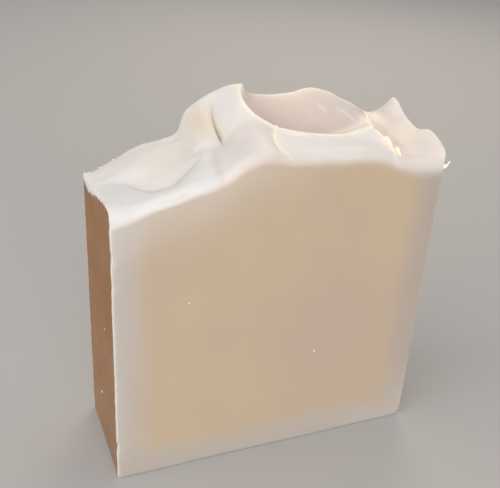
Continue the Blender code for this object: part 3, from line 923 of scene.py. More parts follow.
@dataclass(frozen=True)
class SoapTones:
    """Where each tone of soap shows on the bar.

    Attributes:
        top: the folds.
        thickness: the bar's thickness.
        scar: the scar below the front lip.
        rind: how far the pale rind reaches in from the left, the right and the base.
        rind_rise: the height from which the rind at the right starts to die out.
        rind_fade: shares of its reach over which the rind fades.
        painted_shade: how far the painted shade reaches in from the right and the base.
        painted_shade_fade: shares of its reach over which it fades.
        painted_shade_on_base: its strength along the base.
        corner_lift: how much lighter the lower right corner is.
        corner_rise: how far up that lift reaches, in shares of the base's reach.
        corner_span: where along the bar the corner starts and is whole.
        waver: noise layers that make the tones' borders wander.
        waver_share: how far they wander, as a share of a rind's reach.
        bite: noise layers that make the white's border ragged.
        bite_on_cut: how much of both shows in the white's border on the cut faces.
        blush: where the pink cloud lies across and up the bar, and its reach.
        white_on_cut: how deep the white is at places across the cut faces.
        white_on_mould: how deep it is at places through the mould faces.
        white_softness: how soft its border is at places across the cut faces.
        mould_softness: how soft it is on the mould faces.
        back_white: how much of the folds' rise above the front shows as deeper white behind.
        glow: strength of the painted glow below the white, which lightens the soap as if the white threw
            light into it.
        glow_reach: how deep that light goes.
        glow_span: where along the bar that light starts to fade and is gone.
        mould_skin_and_shade: strength of the mould faces' brown, on the left and the right; it is partly
            their own tan and partly painted shade and warm bounce light.
        skin_grain: noise layers in it.
        skin_base: how much weaker it is at the base.
        skin_rise: the height at which it is whole.
        rim: how far in the mould faces' pale rims reach.
        chips: scale of the noise that chips are read from, and how much farther in they reach.
        chip_bias: how much of the rim is chipped.
        rim_fade: the width over which the mould faces' tone grows in from the rim.
        rim_white_and_highlight: how white the mould faces' rims are, partly pale chipped soap and partly a
            painted highlight along the edges.
        rim_white_and_highlight_fade: where along that width the white starts and stops fading.
        lip_glow: how far the painted glow reaches to each side of a lip, strongly and faintly.
        painted_crease_shade_reach: how far the painted shade reaches to each side of a groove, strongly and
            faintly.
        strong_share: the share of the tone that is strong.
        cream: strength of the cream tone on the left fold and on the right one.
        cream_fade: the distance from the left crease over which it grows in.
        scoop_fade: the distance from the rim over which the scoop's tone grows in.
        scoop_painted_light: how much lighter the scoop is at the right, a painted lightening of its far wall.
        scoop_span: where along the bar that starts and is whole.
        pink_right: strength of the scoop's tone on the right fold, and how much its saddle adds.
        saddle_across: where across the bar the saddle ends and is whole.
        saddle_through: where through the bar it starts and is whole.
        pink_mound: strength of the scoop's tone on the mound.
        mound_span: where along the bar the mound starts and is whole.
    """

    top: FoldedTop
    thickness: float
    scar: LipScar
    rind: tuple[float, float, float] = (7.5, 7.0, 7.5)
    rind_rise: float = 12.0
    rind_fade: Span = (0.15, 1.3)
    painted_shade: Span = (9.0, 9.0)
    painted_shade_fade: Span = (0.1, 1.1)
    painted_shade_on_base: float = 0.4
    corner_lift: float = 0.9
    corner_rise: float = 1.3
    corner_span: Span = (10.0, 32.0)
    waver: tuple[Span, ...] = ((0.09, 1.6), (0.3, 0.5))
    waver_share: float = 0.09
    bite: tuple[Span, ...] = ((1.1, 0.35), (0.45, 0.3))
    bite_on_cut: float = 0.3
    blush: tuple[float, float, float] = (13.0, 30.0, 17.0)
    white_on_cut: tuple[Spot, ...] = (
        (-35, 3), (-31, 2.5), (-27, 2), (-21, 2.1), (-16.5, 2.2), (-13, 1.3), (-8, 1), (-1, 1), (5, 1.4),
        (12, 1.7), (18, 1.3), (22, 1.7), (27, 2.7), (35, 4.2))
    white_on_mould: tuple[Spot, ...] = (
        (-12.7, 0.2), (-7, 0.3), (-3, 0.4), (3, 1.1), (8.5, 1.7), (11.5, 1), (12.7, 0.5))
    white_softness: tuple[Spot, ...] = ((-24, 0.8), (-10, 1.9))
    mould_softness: float = 0.2
    back_white: float = 0.6
    glow: float = 0.34
    glow_reach: float = 7.0
    glow_span: Span = (-12.0, 12.0)
    mould_skin_and_shade: Span = (0.97, 0.6)
    skin_grain: tuple[Span, ...] = ((0.12, 0.08),)
    skin_base: float = 0.1
    skin_rise: float = 40.0
    rim: float = 0.3
    chips: Span = (0.8, 0.45)
    chip_bias: float = 0.3
    rim_fade: float = 0.3
    rim_white_and_highlight: float = 0.8
    rim_white_and_highlight_fade: Span = (-0.1, 0.3)
    lip_glow: Span = (0.5, 1.9)
    painted_crease_shade_reach: Span = (0.4, 1.7)
    strong_share: float = 0.75
    cream: Span = (0.6, 0.5)
    cream_fade: float = 3.5
    scoop_fade: Span = (0.1, 1.2)
    scoop_painted_light: float = 0.2
    scoop_span: Span = (12.0, 24.0)
    pink_right: Span = (0.4, 0.5)
    saddle_across: Span = (34.0, 29.0)
    saddle_through: Span = (-10.0, -3.0)
    pink_mound: float = 0.15
    mound_span: Span = (-14.0, -8.0)

    def layers(self, points: np.ndarray, local_top: np.ndarray, number: np.ndarray) -> dict[str, np.ndarray]:
        """Work out where each tone of soap shows.

        Args:
            points: all of the bar's vertices, those of the top first.
            local_top: the height of the top above each vertex.
            number: the fold that each top vertex lies in.

        Returns:
            A layer for each tone, from 0 to 1.
        """
        layers = self.on_body(points, local_top)
        count = len(number)
        for tone, values in self.on_top(points[:count, :2], number).items():
            layer = layers.setdefault(tone, np.zeros(len(points)))
            layer[:count] = np.maximum(layer[:count], values)
        return {tone.value: np.clip(values, 0.0, 1.0) for tone, values in layers.items()}

    def on_body(self, points: np.ndarray, local_top: np.ndarray) -> dict[Tone, np.ndarray]:
        """Work out the tones of the cut faces and the mould faces.

        Args:
            points: all of the bar's vertices.
            local_top: the height of the top above each vertex.

        Returns:
            A layer for each tone that shows on them.
        """
        x, y, z = points.T
        on_mould = np.abs(np.abs(x) - PLAN_WIDTH / 2) < SAME_POINT
        waver = grain(points, self.waver)
        from_rim = self._from_rim(points)
        # Pale rims on the mould faces: partly chipped soap, partly a painted highlight along the edges.
        rim_white_and_highlight = self.rim_white_and_highlight * on_mould * (1.0 - smoothstep(*self.rim_white_and_highlight_fade, from_rim))
        # The mould faces' brown: partly their own tan, partly painted shade and warm bounce light.
        skin = np.where(x < 0, *self.mould_skin_and_shade) + grain(points, self.skin_grain)
        skin -= self.skin_base * smoothstep(self.skin_rise, 0.0, z)
        blush_x, blush_z, blush_reach = self.blush
        return {
            Tone.BLUSH: np.exp(-((x - blush_x) ** 2 + (z - blush_z) ** 2) / blush_reach ** 2),
            Tone.RIND: self._rind(x, z, waver),
            # Painted shade towards the right and the base of the cut faces.
            Tone.PAINTED_SHADE: self._painted_shade(x, z, waver),
            Tone.MOULD_SKIN_AND_SHADE: on_mould * smoothstep(0.0, self.rim_fade, from_rim) * skin,
            Tone.TOP: np.maximum(self._white(points, local_top, on_mould, waver), rim_white_and_highlight),
            # Painted shade in the scar.
            Tone.PAINTED_CREASE_SHADE: self.scar.painted_light * self.scar.strength(points, -self.thickness / 2),
        }

    def _rind(self, x: np.ndarray, z: np.ndarray, waver: np.ndarray) -> np.ndarray:
        """Work out where the pale rind shows.

        Args:
            x: each vertex's place across the bar.
            z: its height.
            waver: how far the border wanders there.

        Returns:
            The rind's strength.
        """
        left, right, base = self.rind
        half = PLAN_WIDTH / 2
        low_right = (half - x) / right + np.maximum(z - self.rind_rise, 0.0) / self.rind_rise
        near_wall = np.minimum.reduce([(x + half) / left, z / base, low_right])
        return 1.0 - smoothstep(*self.rind_fade, near_wall + waver * self.waver_share)

    def _painted_shade(self, x: np.ndarray, z: np.ndarray, waver: np.ndarray) -> np.ndarray:
        """Work out where the painted shade shows, darker towards the right and the base.

        Args:
            x: each vertex's place across the bar.
            z: its height.
            waver: how far the border wanders there.

        Returns:
            The painted shade's strength.
        """
        right, base = self.painted_shade
        from_right = (PLAN_WIDTH / 2 - x) / right + waver * self.waver_share
        from_base = z / base + waver * self.waver_share
        beside_right = 1.0 - smoothstep(*self.painted_shade_fade, from_right)
        along_base = self.painted_shade_on_base * (1.0 - smoothstep(*self.painted_shade_fade, from_base))
        corner = hump(from_base, self.corner_rise) * smoothstep(*self.corner_span, x)
        return np.maximum(beside_right, along_base) * (1.0 - self.corner_lift * corner)

    def _white(self, points: np.ndarray, local_top: np.ndarray, on_mould: np.ndarray,
               waver: np.ndarray) -> np.ndarray:
        """Work out how far the white of the top comes down the faces, with a painted glow below it on the cut
        faces.

        Args:
            points: all of the bar's vertices.
            local_top: the height of the top above each vertex.
            on_mould: whether each vertex is on a mould face.
            waver: how far the border wanders there.

        Returns:
            The white's strength, with the painted glow.
        """
        x, y, z = points.T
        bite = grain(points, self.bite)
        front = np.vstack([self.top.curves[name] for name in FRONT_EDGES])
        taller = np.maximum(local_top - np.interp(x, front[:, 0], front[:, 2]), 0.0) * (y > 0)
        on_wall = np.interp(y, *np.transpose(self.white_on_mould)) + bite
        on_cut = np.interp(x, *np.transpose(self.white_on_cut)) + (waver + bite) * self.bite_on_cut
        on_cut += self.back_white * taller
        below = local_top - z - np.where(on_mould, on_wall, on_cut)
        softness = np.interp(x, *np.transpose(self.white_softness))
        white = 1.0 - smoothstep(-1.0, 1.0, below / np.where(on_mould, self.mould_softness, softness))
        # Painted glow: the cut faces are lightened below the white, as if it threw light into the soap.
        fading = 1.0 - smoothstep(*self.glow_span, x)
        glow = self.glow * hump(np.maximum(below, 0.0), self.glow_reach) * fading
        return np.maximum(white, np.where(on_mould, 0.0, glow))

    def _from_rim(self, points: np.ndarray) -> np.ndarray:
        """Measure how far in each vertex is from the chipped rims of the mould faces.

        Args:
            points: all of the bar's vertices.

        Returns:
            The distances, negative on the rims.
        """
        scale, depth = self.chips
        chipped = depth * np.maximum(grain(points, ((scale, 1.0),)) + self.chip_bias, 0.0)
        return self.thickness / 2 - np.abs(points[:, 1]) - self.rim - chipped

    def on_top(self, plan: np.ndarray, number: np.ndarray) -> dict[Tone, np.ndarray]:
        """Work out the tones of the folds.

        Args:
            plan: the top vertices in plan.
            number: the fold that each of them lies in.

        Returns:
            A layer for each tone that shows on the top.
        """
        x, y = plan.T
        fold = {name: number == index for index, name in enumerate(REGIONS)}
        from_rim = np.minimum.reduce([self._away(name, plan) for name in SCOOP_RIMS])
        # Painted light: the scoop is paler towards the right.
        painted_light_in_scoop = 1.0 - self.scoop_painted_light * smoothstep(*self.scoop_span, x)
        scooped = smoothstep(*self.scoop_fade, from_rim) * painted_light_in_scoop
        saddle = smoothstep(*self.saddle_across, x) * smoothstep(*self.saddle_through, y)
        on_left, on_right = self.cream
        on_left = on_left * smoothstep(0.0, self.cream_fade, self._away("left_crease", plan))
        pink, more_pink = self.pink_right
        tones = {
            Tone.CREAM: on_left * fold["left_fold"] + on_right * fold["right"],
            Tone.SCOOP: scooped * fold["scoop"] + (pink + more_pink * saddle) * fold["right"]
            + self.pink_mound * smoothstep(*self.mound_span, x) * fold["middle"],
            Tone.LIP_WITH_PAINTED_GLOW: np.zeros(len(plan)),
            Tone.PAINTED_CREASE_SHADE: np.zeros(len(plan)),
        }
        # Painted glow along lips and painted shade along grooves.
        for name, line in DRAWN_LINES.items():
            away, share = distance_to(self.top.curves[name][:, :2], plan)
            tone = Tone.LIP_WITH_PAINTED_GLOW if line.profile is Profile.LIP_WITH_PAINTED_GLOW else Tone.PAINTED_CREASE_SHADE
            near, wide = self.lip_glow if tone is Tone.LIP_WITH_PAINTED_GLOW else self.painted_crease_shade_reach
            painted_light = self.strong_share * hump(away, near) + (1.0 - self.strong_share) * hump(away, wide)
            tones[tone] = np.maximum(tones[tone], painted_light * self.top.fade(share, line.fade) * line.painted_light)
        for dent in DENTS:
            away, share = distance_to(smooth_curve(dent.path), plan)
            mark = dent.painted_light * hump(away, dent.reach) * swell(share)
            tones[dent.tone] += mark * (1.0 - tones[dent.tone] if dent.painted_light > 0 else 1.0)
        return tones

    def _away(self, name: str, plan: np.ndarray) -> np.ndarray:
        """Return how far points in plan lie from a named line."""
        return distance_to(self.top.curves[name][:, :2], plan)[0]


@dataclass
class SoapBar:
    """The casting: cut faces, mould faces and folded top in one mesh.

    Attributes:
        width: how wide the bar is across its cut faces.
        thickness: how far apart the cut faces are.
        spacing: the distance between the top's vertices.
        line_spacing: the distance along a line's own rows, as a share of that.
        edge_spacing: the distance between the wall's vertices.
        corner_rows: extra vertices beside each corner.
        crown_rows: how far below the top the wall's rows are, where they are close together.
        wall_step: the distance between the rows further down.
        base_rows: the heights of the rows near the base.
        edge_offsets: how far in from the plan's edge the top's own rows are.
        line_offsets: how far to each side of a line its rows are.
        line_margin: how near the plan's edge those rows may come.
        line_gap: how close the vertices of crossing rows may come.
        fill_gap: how close the fill may come to a row, as a share of spacing.
        base_offsets: how far in from the plan's edge the base's own rows are.
        base_reach: how far from its middle the base's grid reaches.
        base_count: how many vertices that grid has each way.
        base_gap: how close a vertex of that grid may come to another.
        mean_top: the height of the top above the middle of the base.
        front_edge_round: radius of the top's edge along the front cut face.
        other_edge_round: radius of its other edges.
        corner_round: radius of the upright corners.
        base_right_round: radius of the base's edge at the right.
        base_left_round: the same at the left.
        base_edge_round: the same along the cut faces.
        tip_at: where across the bar the peak's tip stands.
        tip_reach: how far the tip's hook reaches across.
        tip_heights: where up the peak the hook starts and is whole.
        tip_hook: how far the tip is hooked over.
        swells: noise layers of the spooned soap's unevenness.
        tears: noise layers of its ragged edges.
        ragged_left: strength and reach of the tears at the left edge.
        ragged_back: the same at the back edge.
        ragged_span: where along the back edge the tears start to fade and are gone.
        wire_lean: how much the wire's waver runs across, through and up the bar.
        wire_waver: the noise layer of that waver.
        nick_depths: how deep the nicks are in the left and the right front edge.
        nick_reach: how far from the edge a nick reaches.
        nick_shift: how far the noise is shifted between the two edges.
        nick_grains: noise layers of the nicks, the first shifted and the second shared.
        scar: the scar below the front lip.
        top: the folds.
    """

    width: float
    thickness: float
    spacing: float = 0.34
    line_spacing: float = 0.9
    edge_spacing: float = 0.34
    corner_rows: tuple[float, ...] = (0.0, 0.1, 0.2)
    crown_rows: tuple[float, ...] = (0.2, 0.45, 0.7, 1, 1.3, 1.6, 2, 2.4, 2.8, 3.3, 3.9, 4.6, 5.4, 6.3)
    wall_step: float = 1.0
    base_rows: tuple[float, ...] = (0.0, 0.1, 0.22, 0.4, 0.7, 1.1, 1.6, 2.1, 2.6, 3.4)
    edge_offsets: tuple[float, ...] = (0.06, 0.15, 0.3, 0.5, 0.75, 1.05, 1.45, 1.9)
    line_offsets: tuple[float, ...] = (0.11, 0.23, 0.38, 0.6)
    line_margin: float = 0.12
    line_gap: float = 0.085
    fill_gap: float = 0.62
    base_offsets: tuple[float, ...] = (0.1, 0.22, 0.4, 0.9, 1.5, 2.1, 2.6)
    base_reach: Span = (31.5, 9.4)
    base_count: tuple[int, int] = (32, 10)
    base_gap: float = 0.5
    mean_top: float = 70.0
    front_edge_round: float = 2.0
    other_edge_round: float = 0.3
    corner_round: float = 0.35
    base_right_round: float = 2.5
    base_left_round: float = 0.8
    base_edge_round: float = 0.3
    tip_at: float = -1.2
    tip_reach: float = 1.2
    tip_heights: Span = (78.2, 79.0)
    tip_hook: float = 0.22
    swells: tuple[Span, ...] = ((0.22, 0.14), (0.7, 0.04))
    tears: tuple[Span, ...] = ((1.35, 1.0), (2.6, 0.6))
    ragged_left: Span = (0.42, 1.1)
    ragged_back: Span = (0.28, 0.7)
    ragged_span: Span = (-14.0, -8.0)
    wire_lean: Point = (0.6, 0.0, 1.0)
    wire_waver: Span = (0.07, 0.12)
    nick_depths: Span = (0.5, 0.25)
    nick_reach: float = 0.8
    nick_shift: float = 9.0
    nick_grains: tuple[Span, Span] = ((0.5, 1.0), (0.16, 0.6))
    scar: LipScar = LipScar()
    top: FoldedTop = field(default_factory=FoldedTop)

    @property
    def stretch(self) -> float:
        """Return how much wider the bar is than its plan."""
        return self.width / PLAN_WIDTH

    @property
    def half(self) -> np.ndarray:
        """Return half of the plan's width and of its thickness."""
        return np.array([PLAN_WIDTH, self.thickness]) / 2

    def ring(self) -> np.ndarray:
        """Lay out the plan's outline.

        Returns:
            The outline's points, anticlockwise from the left front corner.
        """
        corners = self.half * np.array([[-1, -1], [1, -1], [1, 1], [-1, 1]])
        near = np.array([*self.corner_rows, self.corner_round])
        runs = []
        for start, end in zip(corners, np.roll(corners, -1, axis=0)):
            length = np.linalg.norm(end - start)
            middle = np.linspace(self.corner_round, length - self.corner_round,
                                 round(length / self.edge_spacing))[1:-1]
            stations = np.concatenate([near, middle, length - near[::-1]])[:-1]
            runs.append(start + stations[:, None] / length * (end - start))
        return np.vstack(runs)

    def plan_points(self, ring: np.ndarray) -> np.ndarray:
        """Lay out the vertices of the top in plan: rows along its edges and lines, and an even fill.

        Args:
            ring: the plan's outline.

        Returns:
            The points inside the outline.
        """
        half_x, half_y = self.half
        edges = np.vstack([self._shrunk(ring, offset) for offset in self.edge_offsets])
        lines = np.vstack([row for name in DRAWN_LINES for row in self._rows_along(name)])
        across = np.arange(-half_x, half_x, self.spacing)
        through = np.arange(-half_y, half_y, self.spacing * math.sqrt(3) / 2)
        fill = np.array([(x + (row % 2) * self.spacing / 2, y)
                         for row, y in enumerate(through) for x in across])
        return spread_out([
            (edges, 0.0),
            (lines[self._within(lines, self.line_margin)], self.line_gap),
            (fill[self._within(fill, self.edge_offsets[-1])], self.spacing * self.fill_gap),
        ])

    def _shrunk(self, ring: np.ndarray, offset: float) -> np.ndarray:
        """Return the ring drawn in from its edge."""
        return ring * ((self.half - offset) / self.half)

    def _rows_along(self, name: str) -> list[np.ndarray]:
        """Lay out the rows of vertices along a line and to each side of it.

        Args:
            name: the line.

        Returns:
            The rows' points in plan.
        """
        path = spaced(self.top.curves[name][:, :2], self.spacing * self.line_spacing)
        lean = np.gradient(path, axis=0)
        lean /= np.linalg.norm(lean, axis=1, keepdims=True)
        side = np.stack([-lean[:, 1], lean[:, 0]], axis=1)
        rows = [path]
        for offset in self.line_offsets:
            rows += [path + side * offset, path - side * offset]
        return rows

    def _within(self, points: np.ndarray, margin: float) -> np.ndarray:
        """Say which points are at least a margin inside the plan."""
        return np.all(np.abs(points) < self.half - margin, axis=1)

    def edge_drop(self, plan: np.ndarray) -> np.ndarray:
        """Work out how far the rounded outer edges drop below the folds.

        Args:
            plan: the top vertices in plan.

        Returns:
            The drop at each vertex.
        """
        x, y = plan.T
        half_x, half_y = self.half
        edges = [(y + half_y, self.front_edge_round)]
        edges += [(gap, self.other_edge_round) for gap in (half_y - y, x + half_x, half_x - x)]
        drop = np.zeros(len(plan))
        for gap, radius in edges:
            short = np.clip(1.0 - gap / radius, 0.0, 1.0)
            drop = np.maximum(drop, radius * (1.0 - np.sqrt(1.0 - short ** 2)))
        return drop

    def build(self) -> bpy.types.Object:
        """Make the bar's mesh and its soap layers.

        Returns:
            The bar, in metres.
        """
        ring = self.ring()
        plan, faces, origins = triangulate(ring, self.plan_points(ring))
        order = {source: index for index, origin in enumerate(origins) for source in origin}
        above = [order[i] for i in range(len(ring))]
        number = self.top.region_of(plan)
        surface = self.top.height(plan, number) + self.ripple(plan)
        height = surface - self.edge_drop(plan)
        vertices = [np.column_stack([plan, height])]
        local_top = [surface]
        ring_surface = surface[above]
        total = len(plan)
        for level in self.levels(height[above]):
            below = list(range(total, total + len(ring)))
            vertices.append(np.column_stack([ring, level]))
            local_top.append(ring_surface)
            faces += band(above, below)
            above = below
            total += len(ring)
        base_vertices, base_faces = self.base_fill(ring, above, total)
        points = np.vstack([*vertices, base_vertices])
        local_top = np.concatenate([*local_top, np.full(len(base_vertices), self.mean_top)])
        layers = SoapTones(self.top, self.thickness, self.scar).layers(points, local_top, number)
        points = self.curl_tip(self.cut_marks(self.rounded(points)))
        bar = closed_mesh("soap_bar", points, faces + base_faces, self.stretch)
        for name, values in layers.items():
            layer = bar.data.attributes.new(name, "FLOAT", "POINT")
            layer.data.foreach_set("value", values.astype(np.float32))
        return bar

    def curl_tip(self, points: np.ndarray) -> np.ndarray:
        """Hook the peak's tip over to the right.

        Args:
            points: all of the bar's vertices.

        Returns:
            The vertices with the tip hooked over.
        """
        points = points.copy()
        tip = hump(points[:, 0] - self.tip_at, self.tip_reach) * smoothstep(*self.tip_heights, points[:, 2])
        points[:, 0] += self.tip_hook * tip
        return points

    def levels(self, ring_top: np.ndarray) -> list[np.ndarray]:
        """Lay out the rows down the walls, close together near the top and the base.

        Args:
            ring_top: the height of the wall's top at each corner of the ring.

        Returns:
            A height for each corner of the ring, row by row.
        """
        floor_of_wall = self.base_rows[-1]
        crown = [ring_top - offset for offset in self.crown_rows]
        steps = round((ring_top.mean() - floor_of_wall) / self.wall_step)
        shares = np.linspace(1.0, 0.0, steps + 1)[1:]
        walls = [floor_of_wall + (crown[-1] - floor_of_wall) * share for share in shares]
        return crown + walls + [np.full(len(ring_top), z) for z in self.base_rows[-2::-1]]

    def base_fill(self, ring: np.ndarray, ring_index: list[int], total: int) -> tuple[np.ndarray, list[Face]]:
        """Close the base.

        Args:
            ring: the plan's outline.
            ring_index: the lowest ring's vertex numbers.
            total: how many vertices there are so far.

        Returns:
            The new vertices, and the faces that join them to the ring.
        """
        rows = np.vstack([self._shrunk(ring[::2], offset) for offset in self.base_offsets])
        across, through = np.meshgrid(*(np.linspace(-reach, reach, count)
                                        for reach, count in zip(self.base_reach, self.base_count)))
        fill = np.column_stack([across.ravel(), through.ravel()])
        plan, faces, origins = triangulate(ring, spread_out([(rows, 0.0), (fill, self.base_gap)]))
        number = []
        fresh = []
        for spot, origin in zip(plan, origins):
            if min(origin) < len(ring):
                number.append(ring_index[min(origin)])
            else:
                number.append(total + len(fresh))
                fresh.append((*spot, 0.0))
        return np.array(fresh), [tuple(number[i] for i in reversed(face)) for face in faces]

    def ripple(self, plan: np.ndarray) -> np.ndarray:
        """Work out the small unevenness of the spooned soap, ragged at the left and back edges.

        Args:
            plan: the top vertices in plan.

        Returns:
            How far each vertex is raised.
        """
        flat = np.column_stack([plan, np.zeros(len(plan))])
        x, y = plan.T
        half_x, half_y = self.half
        (left, left_reach), (back, back_reach) = self.ragged_left, self.ragged_back
        ragged = left * np.exp(-(x + half_x) / left_reach)
        ragged += back * np.exp(-(half_y - y) / back_reach) * (1.0 - smoothstep(*self.ragged_span, x))
        return grain(flat, self.swells) + grain(flat, self.tears) * ragged

    def rounded(self, points: np.ndarray) -> np.ndarray:
        """Round the upright corners and the edges of the base.

        Args:
            points: all of the bar's vertices.

        Returns:
            The vertices with their corners turned.
        """
        points = points.copy()
        half_x, half_y = self.half
        for corner in ((-half_x, -half_y), (-half_x, half_y), (half_x, -half_y), (half_x, half_y)):
            self._turn(points, (0, 1), corner, self.corner_round)
        self._turn(points, (0, 2), (half_x, 0.0), self.base_right_round)
        self._turn(points, (0, 2), (-half_x, 0.0), self.base_left_round)
        for cut_face in (-half_y, half_y):
            self._turn(points, (1, 2), (cut_face, 0.0), self.base_edge_round)
        return points

    @staticmethod
    def _turn(points: np.ndarray, axes: tuple[int, int], corner: Spot, radius: float) -> None:
        """Bend a square corner round a radius, in place.

        Args:
            points: the vertices.
            axes: the two axes of the corner's plane.
            corner: where the corner is in that plane.
            radius: the radius that it is turned to.
        """
        out = np.where(np.array(corner) > 0, 1.0, -1.0)
        centre = corner - out * radius
        share = (points[:, axes] - centre) * out / radius
        mine = np.all(share > 0, axis=1)
        share = share[mine]
        pulled = share * np.sqrt(1 - share[:, ::-1] ** 2 / 2)
        points[np.ix_(mine, axes)] = centre + out * radius * pulled

    def cut_marks(self, points: np.ndarray) -> np.ndarray:
        """Give the cut faces the wire's slow waver, nick the upright edges and scar the front lip.

        Args:
            points: all of the bar's vertices.

        Returns:
            The marked vertices.
        """
        points = points.copy()
        half_x, half_y = self.half
        wave = grain(points * np.array(self.wire_lean), (self.wire_waver,))
        points[:, 1] += wave * points[:, 1] / half_y
        upright = points * np.array([0.0, 0.0, 1.0])
        own, shared = self.nick_grains
        for side, depth in zip((-1, 1), self.nick_depths):
            away = np.hypot(points[:, 0] - side * half_x, points[:, 1] + half_y)
            nick = grain(upright + side * self.nick_shift, (own,)) + grain(upright, (shared,))
            pull = depth * np.maximum(nick, 0.0) * hump(away, self.nick_reach)
            points[:, 0] -= side * pull
            points[:, 1] += pull
        points[:, 1] += self.scar.sink * self.scar.strength(points, -half_y)
        return points


@dataclass
class RidgeFlake:
    """A thin curl of soap that the spoon left standing on the right ridge.

    Attributes:
        name: the piece's name.
        path: its foot along the ridge, in millimetres.
        height: how tall it stands.
        thickness: how thick its foot is.
        curl: how far its tip leans over.
        seed: where its ragged edge is read from the noise.
        stretch: how much wider the bar is than its plan.
        stations: how many stretches its foot is cut into.
        steps: how many rows of vertices it has up each side.
        raggedness: how uneven its edge is.
        edge_scale: scale of that unevenness along the flake.
        waviness: how far its edge sways.
        wave_scale: scale of the sway.
        wave_seed: where the sway is read from the noise.
        end_height: the height at its ends, as a share of its middle's before rounding.
        end_width: the same for its thickness.
        height_power: how quickly it rises from its ends.
        width_power: how quickly it thickens from them.
        taper: how much of its thickness is gone at its edge.
    """

    name: str
    path: tuple[Point, ...]
    height: float
    thickness: float
    curl: float
    seed: float
    stretch: float
    stations: int = 36
    steps: int = 8
    raggedness: float = 0.18
    edge_scale: float = 5.0
    waviness: float = 0.18
    wave_scale: float = 3.0
    wave_seed: float = 4.0
    end_height: float = 0.06
    end_width: float = 0.12
    height_power: float = 0.6
    width_power: float = 0.5
    taper: float = 0.75

    def build(self) -> bpy.types.Object:
        """Loft the flake along its foot.

        Returns:
            The flake, in metres.
        """
        foot = smooth_curve(self.path)
        foot = spaced(foot, np.linalg.norm(np.diff(foot, axis=0), axis=1).sum() / self.stations)
        along = np.gradient(foot, axis=0)
        along[:, 2] = 0.0
        along /= np.linalg.norm(along, axis=1, keepdims=True)
        side = np.column_stack([-along[:, 1], along[:, 0], np.zeros(len(foot))])
        shares = np.linspace(0.0, 1.0, len(foot))
        rings = np.array([self._section(*station) for station in zip(foot, side, shares)])
        return closed_mesh(self.name, rings.reshape(-1, 3), loft(rings), self.stretch)

    def _section(self, foot: np.ndarray, across: np.ndarray, share: float) -> np.ndarray:
        """Lay out one section of the flake.

        Args:
            foot: where the section's foot is.
            across: the direction across the flake.
            share: how far along the flake it is.

        Returns:
            The section's points, up one side and down the other.
        """
        rise = np.linspace(0.0, 1.0, self.steps)
        middle = math.sin(math.pi * share)
        ragged = 1.0 + self.raggedness * noise.noise(Vector((share * self.edge_scale, self.seed, 0.0)))
        tall = self.height * ragged * max(middle, self.end_height) ** self.height_power
        wave = self.waviness * noise.noise(Vector((share * self.wave_scale, self.seed, self.wave_seed)))
        thick = self.thickness * max(middle, self.end_width) ** self.width_power
        half = 0.5 * thick * (1.0 - self.taper * rise)
        lean = self.curl * rise ** 2 + wave * rise
        up = np.outer(tall * rise, (0.0, 0.0, 1.0))
        left = foot + np.outer(lean + half, across) + up
        right = foot + np.outer(lean - half, across) + up
        return np.vstack([left, right[::-1]])


@dataclass
class WireBurr:
    """The thread of soap that the cutting wire dragged out of the right front corner.

    Attributes:
        name: the piece's name.
        path: the points that it bends through, in millimetres.
        radius: its radius at its root.
        stretch: how much wider the bar is than its plan.
        sides: how many vertices go round it.
        steps: how many stretches each span of its path is cut into.
        taper: how much thinner it gets towards its tip.
        knot: how much thicker and thinner it is along its length.
        knot_turns: how quickly that changes, in radians along it.
        tip: radius of its very tip, as a share of the radius before it.
        flatness: its depth, as a share of its width.
    """

    name: str
    path: tuple[Point, ...]
    radius: float
    stretch: float
    sides: int = 14
    steps: int = 8
    taper: float = 0.55
    knot: float = 0.25
    knot_turns: float = 7.0
    tip: float = 0.3
    flatness: float = 0.75

    def build(self) -> bpy.types.Object:
        """Loft the thread along its bent path.

        Returns:
            The thread, in metres.
        """
        spine = smooth_curve(self.path, self.steps)
        along = np.gradient(spine, axis=0)
        along /= np.linalg.norm(along, axis=1, keepdims=True)
        side = np.cross(along, (0.0, 1.0, 0.0))
        side /= np.linalg.norm(side, axis=1, keepdims=True)
        out = np.cross(along, side)
        share = np.linspace(0.0, 1.0, len(spine))
        radii = self.radius * (1.0 - self.taper * share + self.knot * np.sin(self.knot_turns * share))
        radii[-1] *= self.tip
        turn = np.linspace(0.0, 2.0 * math.pi, self.sides, endpoint=False)[None, :, None]
        wide, deep = np.cos(turn) * side[:, None], self.flatness * np.sin(turn) * out[:, None]
        rings = spine[:, None] + radii[:, None, None] * (wide + deep)
        return closed_mesh(self.name, rings.reshape(-1, 3), loft(rings), self.stretch)


